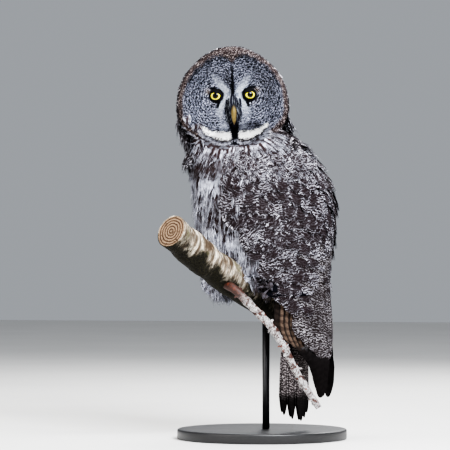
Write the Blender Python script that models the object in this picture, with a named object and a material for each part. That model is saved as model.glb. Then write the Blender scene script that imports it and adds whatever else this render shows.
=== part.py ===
# A great grey owl as a life-size display model, perched on a cut length of branch on a stand.
# Metres, +Z up. The owl's breast faces -Y and its left side is +X. The origin is at the middle
# of the underside of the stand's base. Each piece keeps a small gap to its neighbours.
import math
import random

import bmesh
import bpy
from mathutils import Matrix, Vector

GAP = 0.0003  # clear space between pieces that touch
SEED = 7

# Sections of the body, from the top down: height, then how far the plumage reaches forward,
# back and sideways of the section's middle, and how far back that middle lies.
BODY_SECTIONS = (
    (0.525, 0.070, 0.014, 0.040, -0.014),
    (0.508, 0.108, 0.044, 0.066, -0.006),
    (0.492, 0.124, 0.062, 0.086, 0.000),
    (0.476, 0.130, 0.076, 0.096, 0.000),
    (0.434, 0.124, 0.105, 0.103, 0.000),
    (0.393, 0.119, 0.119, 0.107, 0.000),
    (0.360, 0.117, 0.121, 0.105, 0.000),
    (0.335, 0.114, 0.119, 0.102, 0.000),
    (0.300, 0.111, 0.115, 0.096, 0.000),
    (0.268, 0.108, 0.112, 0.090, 0.001),
    (0.240, 0.098, 0.106, 0.083, 0.008),
    (0.200, 0.060, 0.076, 0.070, 0.042),
    (0.160, 0.050, 0.062, 0.058, 0.058),
    (0.120, 0.045, 0.053, 0.047, 0.069),
    (0.060, 0.040, 0.040, 0.036, 0.080),
)
HIP_TWIST = math.radians(-20.0)  # the lower body turns away from the shoulders
TWIST_TOP = 0.420
TWIST_END = 0.280
NECK_JOIN_Z = 0.452
TORSO_ROOF_Z = 0.302  # underside of the body, above the feet
NECK_RINGS = 6
TORSO_SIDES = 32
TORSO_RINGS = 11
RIM_Z = 0.266  # lowest edge of the plumage at the sides
RIM_FRONT_DROP = 0.026
RIM_BACK_DROP = 0.012
BOWL_MIDDLE = Vector((0.004, 0.004, 0.0))
BOWL_LIP = ((0.93, -0.005), (0.85, 0.000), (0.76, 0.014))  # share of the rim, climb from it
BOWL_ROOF = ((0.66, 0.60), (0.45, 1.0))  # share of the rim, share of the climb to the roof

# The wing's front edge, as heights and how far back the edge lies.
WING_FRONT = (
    (0.480, -0.019),
    (0.454, -0.022),
    (0.428, -0.031),
    (0.398, -0.038),
    (0.368, -0.030),
    (0.350, 0.000),
    (0.332, 0.018),
    (0.310, 0.037),
    (0.287, 0.048),
    (0.258, 0.047),
    (0.220, 0.046),
    (0.195, 0.049),
    (0.170, 0.064),
    (0.130, 0.084),
    (0.070, 0.104),
)
# Half of the bare strip of mantle between the two wings, by height.
MANTLE_HALF = (
    (0.480, 0.040),
    (0.400, 0.034),
    (0.330, 0.020),
    (0.250, 0.012),
    (0.060, 0.010),
)
WING_TOP = 0.470
WING_CORE_END = 0.235
CORE_FALL = 0.345  # from here down the wing's core thins, under the long feathers
CORE_LOW = -0.0074
CORE_LEAST = 0.0014
WING_ROWS = 12
WING_COLUMNS = 8
WING_DEPTH = 0.0085  # how far the wing is let into the body
WING_PROUD = 0.0016
WING_EDGE = 0.12  # share of the width over which the edges thin
VANE_THICK = 0.0008
ROOM_SPREAD = 0.003  # how far the hollow under a wing reaches past its ends
ROOM_SHARE = 0.012
VANE_CAMBER = 0.0004
VANE_LEAN = 0.0014  # a feather's front edge lies this much higher than its middle
FEATHER_LEVELS = (0.40, 0.35, 0.30, 0.25, 0.20, 0.15, 0.10)
# Tiers of feathers: name, count, half width, shares across the wing of the first and last, height
# and lift of the roots, heights of the tips by share, lifts of the first and last feather.
WING_TIERS = (
    ("primary", 7, 0.0108, (0.14, 0.68), 0.290, -0.0080,
     ((0.0, 0.150), (0.3, 0.112), (0.6, 0.078), (0.8, 0.068), (1.0, 0.082)), (-0.0048, -0.0012)),
    ("secondary", 7, 0.0135, (0.24, 0.86), 0.345, -0.0030,
     ((0.0, 0.172), (0.4, 0.158), (0.8, 0.138), (1.0, 0.130)), (0.0020, 0.0048)),
    ("covert", 6, 0.0160, (0.15, 0.84), 0.395, -0.0010,
     ((0.0, 0.262), (0.5, 0.256), (1.0, 0.240)), (0.0064, 0.0082)),
    ("scapular", 4, 0.0215, (0.20, 0.80), 0.450, -0.0010,
     ((0.0, 0.345), (0.5, 0.335), (1.0, 0.315)), (0.0078, 0.0096)),
)

# Head: seen from the front it is this far from the middle to its outline, by angle from the top.
HEAD_CENTRE = Vector((0.005, -0.049, 0.560))
HEAD_TURN = math.radians(101.4)  # about +Z, from facing -Y
HEAD_ROLL = math.radians(2.2)
HEAD_OUTLINE = (
    (0.0, 0.0870),
    (40.0, 0.0850),
    (63.0, 0.0880),
    (90.0, 0.0920),
    (115.0, 0.0970),
    (140.0, 0.0890),
    (180.0, 0.0800),
)
HEAD_PROFILE = (  # share of the outline, then distance forward, from the disc's rim to the nape
    (0.895, 0.0490),
    (0.955, 0.0400),
    (0.995, 0.0230),
    (1.000, 0.0050),
    (0.975, -0.0180),
    (0.900, -0.0420),
    (0.760, -0.0620),
    (0.540, -0.0770),
    (0.270, -0.0850),
)
HEAD_SIDES = 36
DISC_RINGS = 8
DISC_DEPTH = 0.0460  # forward distance of the disc's flat part
DISC_SHARE = 0.859  # share of the outline that the disc reaches
RIM_RAISE = 0.0050
RIM_START = 0.70
DISH_SINK = 0.0110
DISH_RADIUS = 0.030
RIDGE_RAISE = 0.0130
RIDGE_HALF = 0.0105
RIDGE_TOP = 0.066
RIDGE_BOTTOM = -0.034
RIDGE_FADE = 0.030
CHIN_RAISE = 0.006
CHIN_UP = -0.056
CHIN_HIGH = 0.014
CHIN_HALF = 0.040

EYE_RADIUS = 0.0125
EYE_APART = 0.0542
EYE_UP = 0.0046
EYE_FORWARD = 0.0300
EYE_OUTWARD = math.radians(7.0)
LID_THICK = 0.0020
LID_OPEN = math.radians(43.0)
LID_REACH = math.radians(84.0)
UPPER_LID_DROOP = 0.38

BILL_UPPER = (  # height, forward, half width, half depth
    (-0.0040, 0.0490, 0.0040, 0.0046),
    (-0.0100, 0.0560, 0.0052, 0.0066),
    (-0.0170, 0.0630, 0.0054, 0.0072),
    (-0.0255, 0.0660, 0.0050, 0.0064),
    (-0.0330, 0.0652, 0.0040, 0.0048),
    (-0.0395, 0.0628, 0.0026, 0.0030),
    (-0.0440, 0.0600, 0.0008, 0.0009),
)
BILL_LOWER = (
    (-0.0170, 0.0490, 0.0048, 0.0036),
    (-0.0255, 0.0545, 0.0046, 0.0040),
    (-0.0330, 0.0570, 0.0036, 0.0030),
    (-0.0380, 0.0575, 0.0014, 0.0010),
)
BILL_SIDES = 14
NOSTRIL_RADIUS = 0.0011
NOSTRIL_PLACE = (0.0048, 0.0672, -0.0150)  # out from the middle, forward, up

# Branch: a cut length that rises towards the owl's front left.
PERCH_MIDDLE = Vector((0.0, 0.0067, 0.2250))
PERCH_HEADING = math.radians(-30.0)
PERCH_RISE = math.radians(23.0)
PERCH_RADIUS = 0.0272
PERCH_START = -0.140
PERCH_END = 0.265
PERCH_SIDES = 16
PERCH_RINGS = 20
PERCH_BOWS = (0.35, 0.25)  # how fast the branch bends up, ahead of the owl and behind it
PERCH_BOW_FROM = 0.06
PERCH_EVEN = 0.07  # even in thickness this far from its middle
PERCH_WAVES = ((0.035, 70.0), (0.020, 151.0))
KNOT_RUN = 0.178
KNOT_ANGLE = 3.6
KNOT_RAISE = 0.22
KNOT_LONG = 0.014
KNOT_WIDE = 0.5
TWIG_RADIUS = 0.0062
TWIG_POINTS = (  # from the branch down past the left side of the tail
    (0.1080, -0.0420, 0.2560),
    (0.1230, -0.0230, 0.2470),
    (0.1220, 0.0040, 0.2200),
    (0.1180, 0.0360, 0.1860),
    (0.1150, 0.0590, 0.1470),
    (0.1130, 0.0800, 0.1060),
    (0.1110, 0.1110, 0.0580),
)

FOOT_APART = 0.040  # each foot's distance from the perch's middle
PAD_HALVES = (0.0165, 0.0150, 0.0115)
TOE_RADIUS = 0.0078
TOE_TIP_RADIUS = 0.0052
TOE_SPREAD = 0.0170
FRONT_REACH = math.radians(74.0)
BACK_REACH = math.radians(62.0)
CLAW_RADIUS = 0.0036
CLAW_SWEEP = math.radians(52.0)
CLAW_SET = math.radians(7.0)  # how far each claw is let into its toe
LEG_RADIUS = 0.0150

# Tail: twelve feathers, the middle pair uppermost.
TAIL_PAIRS = 6
TAIL_MIDDLE = 0.0700
TAIL_ROOT_Z = 0.2250
TAIL_TIP_Z = 0.0310
TAIL_HALF = 0.0540
TAIL_FEATHER_HALF = 0.0135
TAIL_SECTIONS = (  # height, half width, half depth, distance back
    (0.268, 0.034, 0.016, 0.0800),
    (0.240, 0.045, 0.021, 0.0770),
    (0.205, 0.047, 0.016, 0.0735),
    (0.170, 0.042, 0.010, 0.0710),
    (0.135, 0.030, 0.005, 0.0700),
)

BASE_RADIUS = 0.140
BASE_HEIGHT = 0.016
BASE_EDGE = 0.003
ROD_RADIUS = 0.006


def clear_scene():
    for item in list(bpy.data.objects):
        bpy.data.objects.remove(item, do_unlink=True)


def finish(name, colour, roughness, metallic=0.0):
    made = bpy.data.materials.new(name)
    made.use_nodes = True
    shader = made.node_tree.nodes["Principled BSDF"]
    shader.inputs["Base Color"].default_value = (*colour, 1.0)
    shader.inputs["Roughness"].default_value = roughness
    shader.inputs["Metallic"].default_value = metallic
    return made


def along(table, key, column=1):
    """Smooth value between the rows of a table, whose first column rises or falls."""
    rows = sorted((row[0], row[column]) for row in table)
    if key <= rows[0][0]:
        return rows[0][1]
    if key >= rows[-1][0]:
        return rows[-1][1]
    slopes = []
    for i in range(len(rows)):
        before = rows[max(i - 1, 0)]
        after = rows[min(i + 1, len(rows) - 1)]
        slopes.append((after[1] - before[1]) / (after[0] - before[0]))
    i = next(k for k in range(len(rows) - 1) if key <= rows[k + 1][0])
    span = rows[i + 1][0] - rows[i][0]
    t = (key - rows[i][0]) / span
    return (
        rows[i][1] * (2 * t**3 - 3 * t**2 + 1)
        + slopes[i] * span * (t**3 - 2 * t**2 + t)
        + rows[i + 1][1] * (3 * t**2 - 2 * t**3)
        + slopes[i + 1] * span * (t**3 - t**2)
    )


def mix(low, high, share):
    return low + (high - low) * share


def smooth(share):
    share = min(max(share, 0.0), 1.0)
    return share * share * (3 - 2 * share)


def twist(z):
    return HIP_TWIST * smooth((TWIST_TOP - z) / (TWIST_TOP - TWIST_END))


def body_place(left, back, z):
    """World point from distances to the owl's left and back, at a height."""
    turn = twist(z)
    return Vector((
        left * math.cos(turn) - back * math.sin(turn),
        left * math.sin(turn) + back * math.cos(turn),
        z,
    ))


def body_surface(angle, z, lift=0.0):
    """Point of the plumage; the angle runs from the breast over the left side to the back."""
    forward = along(BODY_SECTIONS, z, 1)
    backward = along(BODY_SECTIONS, z, 2)
    wide = along(BODY_SECTIONS, z, 3)
    middle = along(BODY_SECTIONS, z, 4)
    deep = forward if math.cos(angle) > 0 else backward
    out = Vector((math.sin(angle) / wide, -math.cos(angle) / deep)).normalized() * lift
    return body_place(wide * math.sin(angle) + out.x, middle - deep * math.cos(angle) + out.y, z)


def angle_at_back(back, z):
    """Angle of the plumage's point that lies this far back."""
    reach = back - along(BODY_SECTIONS, z, 4)
    deep = along(BODY_SECTIONS, z, 2 if reach > 0 else 1)
    return math.acos(min(max(-reach / deep, -1.0), 1.0))


def angle_beside_mantle(z):
    half = along(MANTLE_HALF, z) / along(BODY_SECTIONS, z, 3)
    return math.pi - math.asin(half)


def solid(name, points, faces, look):
    mesh = bpy.data.meshes.new(name)
    mesh.from_pydata([tuple(point) for point in points], [], faces)
    shaped = bmesh.new()
    shaped.from_mesh(mesh)
    bmesh.ops.recalc_face_normals(shaped, faces=shaped.faces)
    if shaped.calc_volume(signed=True) < 0:
        bmesh.ops.reverse_faces(shaped, faces=shaped.faces)
    shaped.to_mesh(mesh)
    shaped.free()
    mesh.materials.append(look)
    made = bpy.data.objects.new(name, mesh)
    bpy.context.collection.objects.link(made)
    return made


def loft(rings):
    """Points and faces of a closed form through rings of equal count, with a cap at each end."""
    count = len(rings[0])
    points = [point for ring in rings for point in ring]
    faces = []
    for i in range(len(rings) - 1):
        for j in range(count):
            near = i * count + j
            beside = i * count + (j + 1) % count
            faces.append((near, beside, beside + count))
            faces.append((near, beside + count, near + count))
    for first, ring in ((0, rings[0]), ((len(rings) - 1) * count, rings[-1])):
        centre = len(points)
        points.append(sum(ring, Vector()) / count)
        for j in range(count):
            faces.append((first + j, first + (j + 1) % count, centre))
    return points, faces


def sheet(outer, inner):
    """Closed form between two grids of points, split alike on both faces."""
    rows = len(outer)
    columns = len(outer[0])
    points = [point for grid in (outer, inner) for row in grid for point in row]
    under = rows * columns
    faces = []
    for i in range(rows - 1):
        for j in range(columns - 1):
            a = i * columns + j
            b, c, d = a + 1, a + columns + 1, a + columns
            for face in ((a, b, c), (a, c, d)):
                faces.append(face)
                faces.append(tuple(under + k for k in reversed(face)))
    rim = [(0, j) for j in range(columns)]
    rim += [(i, columns - 1) for i in range(1, rows)]
    rim += [(rows - 1, j) for j in range(columns - 2, -1, -1)]
    rim += [(i, 0) for i in range(rows - 2, 0, -1)]
    for k in range(len(rim)):
        a = rim[k][0] * columns + rim[k][1]
        b = rim[(k + 1) % len(rim)][0] * columns + rim[(k + 1) % len(rim)][1]
        faces.append((b, a, under + a))
        faces.append((b, under + a, under + b))
    return points, faces


def keep_largest(item):
    """Leave only the largest closed surface of a mesh."""
    shaped = bmesh.new()
    shaped.from_mesh(item.data)
    bmesh.ops.triangulate(shaped, faces=shaped.faces)
    waiting = set(shaped.faces)
    groups = []
    while waiting:
        group = {waiting.pop()}
        edge_faces = list(group)
        while edge_faces:
            face = edge_faces.pop()
            for edge in face.edges:
                for other in edge.link_faces:
                    if other in waiting:
                        waiting.discard(other)
                        group.add(other)
                        edge_faces.append(other)
        groups.append(group)
    if len(groups) > 1:
        def size(group):
            corners = [vertex.co for face in group for vertex in face.verts]
            low = Vector((min(point[k] for point in corners) for k in range(3)))
            high = Vector((max(point[k] for point in corners) for k in range(3)))
            return (high - low).length
        groups.sort(key=size)
        scraps = [face for group in groups[:-1] for face in group]
        bmesh.ops.delete(shaped, geom=scraps, context="FACES")
        loose = [vertex for vertex in shaped.verts if not vertex.link_faces]
        bmesh.ops.delete(shaped, geom=loose, context="VERTS")
    shaped.to_mesh(item.data)
    shaped.free()


def apply_modifiers(item):
    bpy.context.view_layer.update()
    shown = item.evaluated_get(bpy.context.evaluated_depsgraph_get())
    mesh = bpy.data.meshes.new_from_object(shown)
    item.modifiers.clear()
    item.data = mesh
    keep_largest(item)


def join_all(item, others):
    """One Boolean union of an object with a collection of closed ones, which are then removed."""
    group = bpy.data.collections.new(item.name + "_pieces")
    bpy.context.scene.collection.children.link(group)
    for other in others:
        bpy.context.collection.objects.unlink(other)
        group.objects.link(other)
        other.hide_render = True
    change = item.modifiers.new("union", "BOOLEAN")
    change.operation = "UNION"
    change.operand_type = "COLLECTION"
    change.collection = group
    change.solver = "EXACT"
    apply_modifiers(item)
    for other in others:
        bpy.data.objects.remove(other, do_unlink=True)
    bpy.data.collections.remove(group)


def cut_away(item, others):
    """Cut closed objects away from an item, one after the other, and remove them."""
    for other in others:
        other.hide_render = True
        change = item.modifiers.new("cut", "BOOLEAN")
        change.operation = "DIFFERENCE"
        change.object = other
        change.solver = "EXACT"
        apply_modifiers(item)
        bpy.data.objects.remove(other, do_unlink=True)


def grown(item, by=GAP):
    """A copy whose points are moved outwards, which leaves the gap when it is cut away."""
    copy = item.copy()
    copy.data = item.data.copy()
    copy.name = item.name + "_room"
    bpy.context.collection.objects.link(copy)
    shaped = bmesh.new()
    shaped.from_mesh(copy.data)
    shaped.normal_update()
    moves = [vertex.normal * vertex.calc_shell_factor() * by for vertex in shaped.verts]
    for vertex, move in zip(shaped.verts, moves):
        vertex.co += move
    shaped.to_mesh(copy.data)
    shaped.free()
    return copy


def circle(centre, across, up, radius, sides, squash=1.0):
    ring = []
    for k in range(sides):
        angle = 2 * math.pi * k / sides
        ring.append(centre + across * math.cos(angle) * radius + up * math.sin(angle) * radius * squash)
    return ring


def tube(name, centres, radii, sides, look, up=Vector((0, 0, 1)), squash=1.0):
    """A closed tube through centres, with a radius at each."""
    rings = []
    for i, centre in enumerate(centres):
        before = centres[max(i - 1, 0)]
        after = centres[min(i + 1, len(centres) - 1)]
        forward = (after - before).normalized()
        across = forward.cross(up).normalized()
        rings.append(circle(centre, across, across.cross(forward), radii[i], sides, squash))
    return solid(name, *loft(rings), look)


def feather_stations(root, tip, shift=0.0):
    """Heights down a feather, each with its share of the full width."""
    between = [z + shift for z in FEATHER_LEVELS if tip + 0.020 < z + shift < root - 0.012]
    stations = [(root, 0.60)]
    for z in between:
        stations.append((z, mix(0.60, 1.0, smooth((root - z) / (0.4 * (root - tip))))))
    return stations + [(tip + 0.011, 0.74), (tip, 0.18)]


def vane(name, place, stations, look, edges=(-1, 0, 1)):
    """A tapered feather; place gives a corner from height, width share, edge and underside."""
    outer = [[place(z, wide, edge, 0) for edge in edges] for z, wide in stations]
    inner = [[place(z, wide, edge, 1) for edge in edges] for z, wide in stations]
    return solid(name, *sheet(outer, inner), look)


def make_torso(look):
    rings = []
    for i in range(TORSO_RINGS):
        ring = []
        for k in range(TORSO_SIDES):
            angle = 2 * math.pi * k / TORSO_SIDES
            front = max(math.cos(angle), 0.0) ** 2
            back = max(-math.cos(angle), 0.0) ** 2
            rim = RIM_Z - RIM_FRONT_DROP * front - RIM_BACK_DROP * back
            z = mix(NECK_JOIN_Z, rim, i / (TORSO_RINGS - 1))
            ring.append(body_surface(angle, z))
        rings.append(ring)
    lowest = rings[-1]
    for share, climb in BOWL_LIP:
        ring = [BOWL_MIDDLE + (point - BOWL_MIDDLE) * share for point in lowest]
        rings.append([Vector((flat.x, flat.y, point.z + climb)) for flat, point in zip(ring, lowest)])
    lip = BOWL_LIP[-1][1]
    for share, climb in BOWL_ROOF:
        ring = [BOWL_MIDDLE + (point - BOWL_MIDDLE) * share for point in lowest]
        rings.append([Vector((flat.x, flat.y, mix(point.z + lip, TORSO_ROOF_Z, climb)))
                      for flat, point in zip(ring, lowest)])
    return solid("torso", *loft(rings), look)


def make_neck(look):
    rings = []
    top = BODY_SECTIONS[0][0]
    for i in range(NECK_RINGS):
        z = mix(NECK_JOIN_Z + GAP, top, i / (NECK_RINGS - 1))
        ring = [body_surface(2 * math.pi * k / TORSO_SIDES, z) for k in range(TORSO_SIDES)]
        rings.append(ring)
    return solid("neck", *loft(rings), look)


def head_axes():
    forward = Vector((math.sin(HEAD_TURN), -math.cos(HEAD_TURN), 0.0))
    left = Vector((math.cos(HEAD_TURN), math.sin(HEAD_TURN), 0.0))
    up = Vector((0, 0, 1))
    tilted = left * math.cos(HEAD_ROLL) + up * math.sin(HEAD_ROLL)
    return tilted, forward, forward.cross(tilted)


def head_place(left, forward, up):
    axes = head_axes()
    return HEAD_CENTRE + axes[0] * left + axes[1] * forward + axes[2] * up


def swell(distance, width):
    """1 at no distance, falling off over about the width."""
    return math.exp(-((distance / width) ** 2))


def disc_depth(left, up):
    """How far forward the face lies: a dish round each eye, and a ridge between them."""
    nearest = math.hypot(abs(left) - EYE_APART / 2, up - EYE_UP)
    fade = smooth((RIDGE_TOP - up) / RIDGE_FADE) * smooth((up - RIDGE_BOTTOM) / RIDGE_FADE)
    ridge = RIDGE_RAISE * swell(left, RIDGE_HALF) * fade
    chin = CHIN_RAISE * swell(up - CHIN_UP, CHIN_HIGH) * swell(left, CHIN_HALF)
    return DISC_DEPTH - DISH_SINK * swell(nearest, DISH_RADIUS) + ridge + chin


def head_ring(share, depth):
    """Points round the head at a share of its outline; depth gives each one's forward distance."""
    ring = []
    for k in range(HEAD_SIDES):
        angle = 2 * math.pi * k / HEAD_SIDES
        reach = share * along(HEAD_OUTLINE, abs(math.degrees(math.remainder(angle, 2 * math.pi))))
        left = math.sin(angle) * reach
        up = math.cos(angle) * reach
        ring.append(head_place(left, depth(left, up), up))
    return ring


def make_head(look):
    rings = []
    for i in range(1, DISC_RINGS + 1):
        share = i / DISC_RINGS
        rim = RIM_RAISE * smooth((share - RIM_START) / (1.0 - RIM_START))
        rings.append(head_ring(DISC_SHARE * share, lambda left, up: disc_depth(left, up) + rim))
    for share, forward in HEAD_PROFILE:
        rings.append(head_ring(share, lambda left, up: forward))
    return solid("head", *loft(rings), look)


def eye_matrix(side):
    left, forward, up = head_axes()
    turned = Matrix.Rotation(side * EYE_OUTWARD, 3, up)
    facing = turned @ forward
    place = head_place(side * EYE_APART / 2, EYE_FORWARD, EYE_UP)
    across = up.cross(facing).normalized()
    basis = Matrix((across, facing.cross(across), facing)).transposed().to_4x4()
    return Matrix.Translation(place) @ basis


def make_eye(name, side, look, radius=EYE_RADIUS):
    shaped = bmesh.new()
    bmesh.ops.create_uvsphere(shaped, u_segments=18, v_segments=10, radius=radius)
    bmesh.ops.transform(shaped, matrix=eye_matrix(side), verts=shaped.verts)
    mesh = bpy.data.meshes.new(name)
    shaped.to_mesh(mesh)
    shaped.free()
    mesh.materials.append(look)
    made = bpy.data.objects.new(name, mesh)
    bpy.context.collection.objects.link(made)
    return made


def make_lid(name, side, look):
    """The lids as one band round the eyeball, open in front of the iris."""
    matrix = eye_matrix(side)
    inside = EYE_RADIUS + GAP * 2
    outside = EYE_RADIUS + LID_THICK
    steps = 3
    sides = 20
    count = steps * 2
    points, faces = [], []
    for k in range(sides):
        angle = 2 * math.pi * k / sides
        opening = LID_OPEN * (1.0 - UPPER_LID_DROOP * max(math.sin(angle), 0.0) ** 2)
        for m in range(count):
            step = m if m < steps else count - 1 - m
            polar = mix(opening, LID_REACH, step / (steps - 1))
            radius = outside if m < steps else inside
            points.append(matrix @ Vector((math.cos(angle) * math.sin(polar) * radius,
                                           math.sin(angle) * math.sin(polar) * radius,
                                           math.cos(polar) * radius)))
    for k in range(sides):
        for m in range(count):
            a = k * count + m
            b = k * count + (m + 1) % count
            c = ((k + 1) % sides) * count + (m + 1) % count
            d = ((k + 1) % sides) * count + m
            faces.append((a, b, c))
            faces.append((a, c, d))
    return solid(name, points, faces, look)


def make_bill(name, sections, look):
    left, forward, up = head_axes()
    rings = []
    for height, reach, half, deep in sections:
        centre = head_place(0.0, reach, height)
        lean = (forward * 0.85 + up * 0.5).normalized() if name == "bill_upper" else forward
        rings.append(circle(centre, left * half, lean * deep, 1.0, BILL_SIDES))
    return solid(name, *loft(rings), look)


def make_nostrils(look):
    pits = []
    for side in (-1, 1):
        shaped = bmesh.new()
        bmesh.ops.create_icosphere(shaped, subdivisions=1, radius=NOSTRIL_RADIUS)
        outward, forward, height = NOSTRIL_PLACE
        centre = head_place(side * outward, forward, height)
        bmesh.ops.translate(shaped, vec=centre, verts=shaped.verts)
        mesh = bpy.data.meshes.new("nostril_room")
        shaped.to_mesh(mesh)
        shaped.free()
        mesh.materials.append(look)
        pit = bpy.data.objects.new("nostril_room", mesh)
        bpy.context.collection.objects.link(pit)
        pits.append(pit)
    return pits


def wing_fullness(share, z):
    """0 to 1: how near a place is to the wing's full thickness, away from its edges."""
    ends = smooth((WING_TOP - z) / 0.035) * smooth((z - WING_CORE_END) / 0.05 + 0.35)
    return smooth(min(share, 1.0 - share) / WING_EDGE) * max(ends, 0.15)


def wing_depth(share, z):
    return WING_DEPTH * mix(0.25, 1.0, wing_fullness(share, z)) + 0.0006


def wing_grid(name, side, look, room=False):
    """Curved plate on the body's side; as a room it is wider and leaves the gap inside."""
    heights = [mix(WING_TOP, WING_CORE_END, i / (WING_ROWS - 1)) for i in range(WING_ROWS)]
    shares = [j / (WING_COLUMNS - 1) for j in range(WING_COLUMNS)]
    outer = WING_PROUD
    if room:
        heights = [WING_TOP + ROOM_SPREAD, *heights, WING_CORE_END - ROOM_SPREAD]
        shares = [-ROOM_SHARE, *shares, 1.0 + ROOM_SHARE]
        outer = 0.03
    if side < 0:
        shares.reverse()
    outside, inside = [], []
    for z in heights:
        first = angle_at_back(along(WING_FRONT, z), z)
        last = angle_beside_mantle(z)
        out_row, in_row = [], []
        for share in shares:
            angle = side * mix(first, last, share)
            full = wing_fullness(share, z)
            depth = wing_depth(share, z) + (GAP * 1.5 if room else 0.0)
            lift = outer if room else mix(outer, CORE_LOW, smooth((CORE_FALL - z) / 0.07))
            out_row.append(body_surface(angle, z, max(lift * mix(0.3, 1.0, full), CORE_LEAST - depth)))
            in_row.append(body_surface(angle, z, -depth))
        outside.append(out_row)
        inside.append(in_row)
    return solid(name, *sheet(outside, inside), look)


def wing_feather(side, across, half, lift, root, root_lift):
    """Corners of a feather of the folded wing, which leans over the one in front of it."""
    def place(z, wide, edge, under):
        first = angle_at_back(along(WING_FRONT, z), z)
        last = angle_beside_mantle(z)
        drift = across + 0.03 * (root - z) / root
        angle = mix(first, last, drift) + edge * half * wide / along(BODY_SECTIONS, z, 3)
        rise = smooth((root - z) / 0.045)
        raised = mix(root_lift, lift, rise) - edge * wide * VANE_LEAN * rise - under * VANE_THICK
        raised += VANE_CAMBER * (1 - abs(edge))
        if z > WING_CORE_END:
            floor = 0.0007 - wing_depth((angle - first) / (last - first), z)
            raised = max(raised, floor + (1 - under) * VANE_THICK)
        return body_surface(side * angle, z, raised)
    return place


def make_wing(name, side, look):
    core = wing_grid(name, side, look)
    draw = random.Random(SEED)
    vanes = []
    for tier, count, half, across, root, root_lift, tips, lifts in WING_TIERS:
        for k in range(count):
            share = k / (count - 1)
            tip = along(tips, share) + draw.uniform(-0.002, 0.002)
            width = half * draw.uniform(0.95, 1.05)
            lift = mix(*lifts, share)
            place = wing_feather(side, mix(*across, share), width, lift, root, root_lift + share * 0.0006)
            edges = (-side, 0, side)
            stations = feather_stations(root, tip, 0.02 * root + draw.uniform(-0.0008, 0.0008))
            vanes.append(vane(f"{name}_{tier}_{k}", place, stations, look, edges))
    join_all(core, vanes)
    return core


def tail_feather(side, root_out, tip_out, stack, low):
    """Corners of a tail feather, whose inner edge lies under the next one inwards."""
    def place(z, wide, edge, under):
        share = (TAIL_ROOT_Z - z) / (TAIL_ROOT_Z - low)
        sideways = side * (mix(root_out, tip_out, share) + edge * TAIL_FEATHER_HALF * wide)
        raised = stack + edge * wide * 0.0005 - under * VANE_THICK - share * 0.003
        raised += VANE_CAMBER * (1 - abs(edge))
        return body_place(sideways, raised, z)
    return place


def make_wing_room(side, look):
    return wing_grid("wing_room", side, look, room=True)


def make_tail_core(name, look):
    rings = []
    for z, half, deep, back in TAIL_SECTIONS:
        ring = []
        for k in range(20):
            angle = 2 * math.pi * k / 20
            ring.append(body_place(math.cos(angle) * half, back + math.sin(angle) * deep, z))
        rings.append(ring)
    return solid(name, *loft(rings), look)


def make_tail(look):
    core = make_tail_core("tail", look)
    vanes = []
    for k in range(TAIL_PAIRS):
        share = k / (TAIL_PAIRS - 1)
        for side in (-1, 1):
            stack = TAIL_MIDDLE + 0.0070 - 0.0026 * k - (0.0013 if side < 0 else 0.0)
            tip_out = mix(0.0065, TAIL_HALF - TAIL_FEATHER_HALF * 0.8, share)
            low = TAIL_TIP_Z + 0.016 * share**1.5
            place = tail_feather(side, mix(0.004, 0.024, share), tip_out, stack, low)
            stations = feather_stations(TAIL_ROOT_Z, low)
            vanes.append(vane(f"tail_{k}_{side}", place, stations, look))
    join_all(core, vanes)
    return core


def perch_axes():
    level = Vector((math.cos(PERCH_HEADING), math.sin(PERCH_HEADING), 0.0))
    run = level * math.cos(PERCH_RISE) + Vector((0, 0, math.sin(PERCH_RISE)))
    front = Vector((math.sin(PERCH_HEADING), -math.cos(PERCH_HEADING), 0.0))
    return run, front, front.cross(run)


def perch_radius(run, angle):
    """The branch is even where the feet hold it, and uneven with a knot further out."""
    away = smooth((abs(run) - PERCH_EVEN) / 0.04)
    wave = sum(rise * math.sin(run * beat) for rise, beat in PERCH_WAVES)
    turn = math.remainder(angle - KNOT_ANGLE, 2 * math.pi)
    knot = KNOT_RAISE * math.exp(-(((run - KNOT_RUN) / KNOT_LONG) ** 2) - (turn / KNOT_WIDE) ** 2)
    return PERCH_RADIUS * (1.0 + away * wave) * (1.0 + knot)


def on_perch(run, angle, height):
    """Point beside the branch's middle line; the angle runs from its top to the owl's front."""
    along_it, front, up = perch_axes()
    bow = PERCH_BOWS[0] * max(run - PERCH_BOW_FROM, 0.0) ** 2
    bow += PERCH_BOWS[1] * max(-run - PERCH_BOW_FROM, 0.0) ** 2
    centre = PERCH_MIDDLE + along_it * run + up * bow
    return centre + (up * math.cos(angle) + front * math.sin(angle)) * height


def make_perch(look):
    rings = []
    for i in range(PERCH_RINGS):
        run = mix(PERCH_START, PERCH_END, i / (PERCH_RINGS - 1))
        ring = []
        for k in range(PERCH_SIDES):
            angle = 2 * math.pi * k / PERCH_SIDES
            ring.append(on_perch(run, angle, perch_radius(run, angle)))
        rings.append(ring)
    return solid("perch", *loft(rings), look)


def make_twig(perch, look):
    controls = [Vector(point) for point in TWIG_POINTS]
    centres = []
    steps = 3
    for i in range(len(controls) - 1):
        before = controls[max(i - 1, 0)]
        after = controls[min(i + 2, len(controls) - 1)]
        a, b = controls[i], controls[i + 1]
        for k in range(steps):
            t = k / steps
            lean_a = (b - before) * 0.5
            lean_b = (after - a) * 0.5
            centres.append(
                a * (2 * t**3 - 3 * t**2 + 1) + lean_a * (t**3 - 2 * t**2 + t)
                + b * (3 * t**2 - 2 * t**3) + lean_b * (t**3 - t**2)
            )
    centres.append(controls[-1])
    count = len(centres)
    radii = [TWIG_RADIUS * mix(1.15, 0.86, i / (count - 1)) for i in range(count)]
    twig = tube("perch_twig", centres, radii, 8, look)
    cut_away(twig, [grown(perch)])
    return twig


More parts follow.
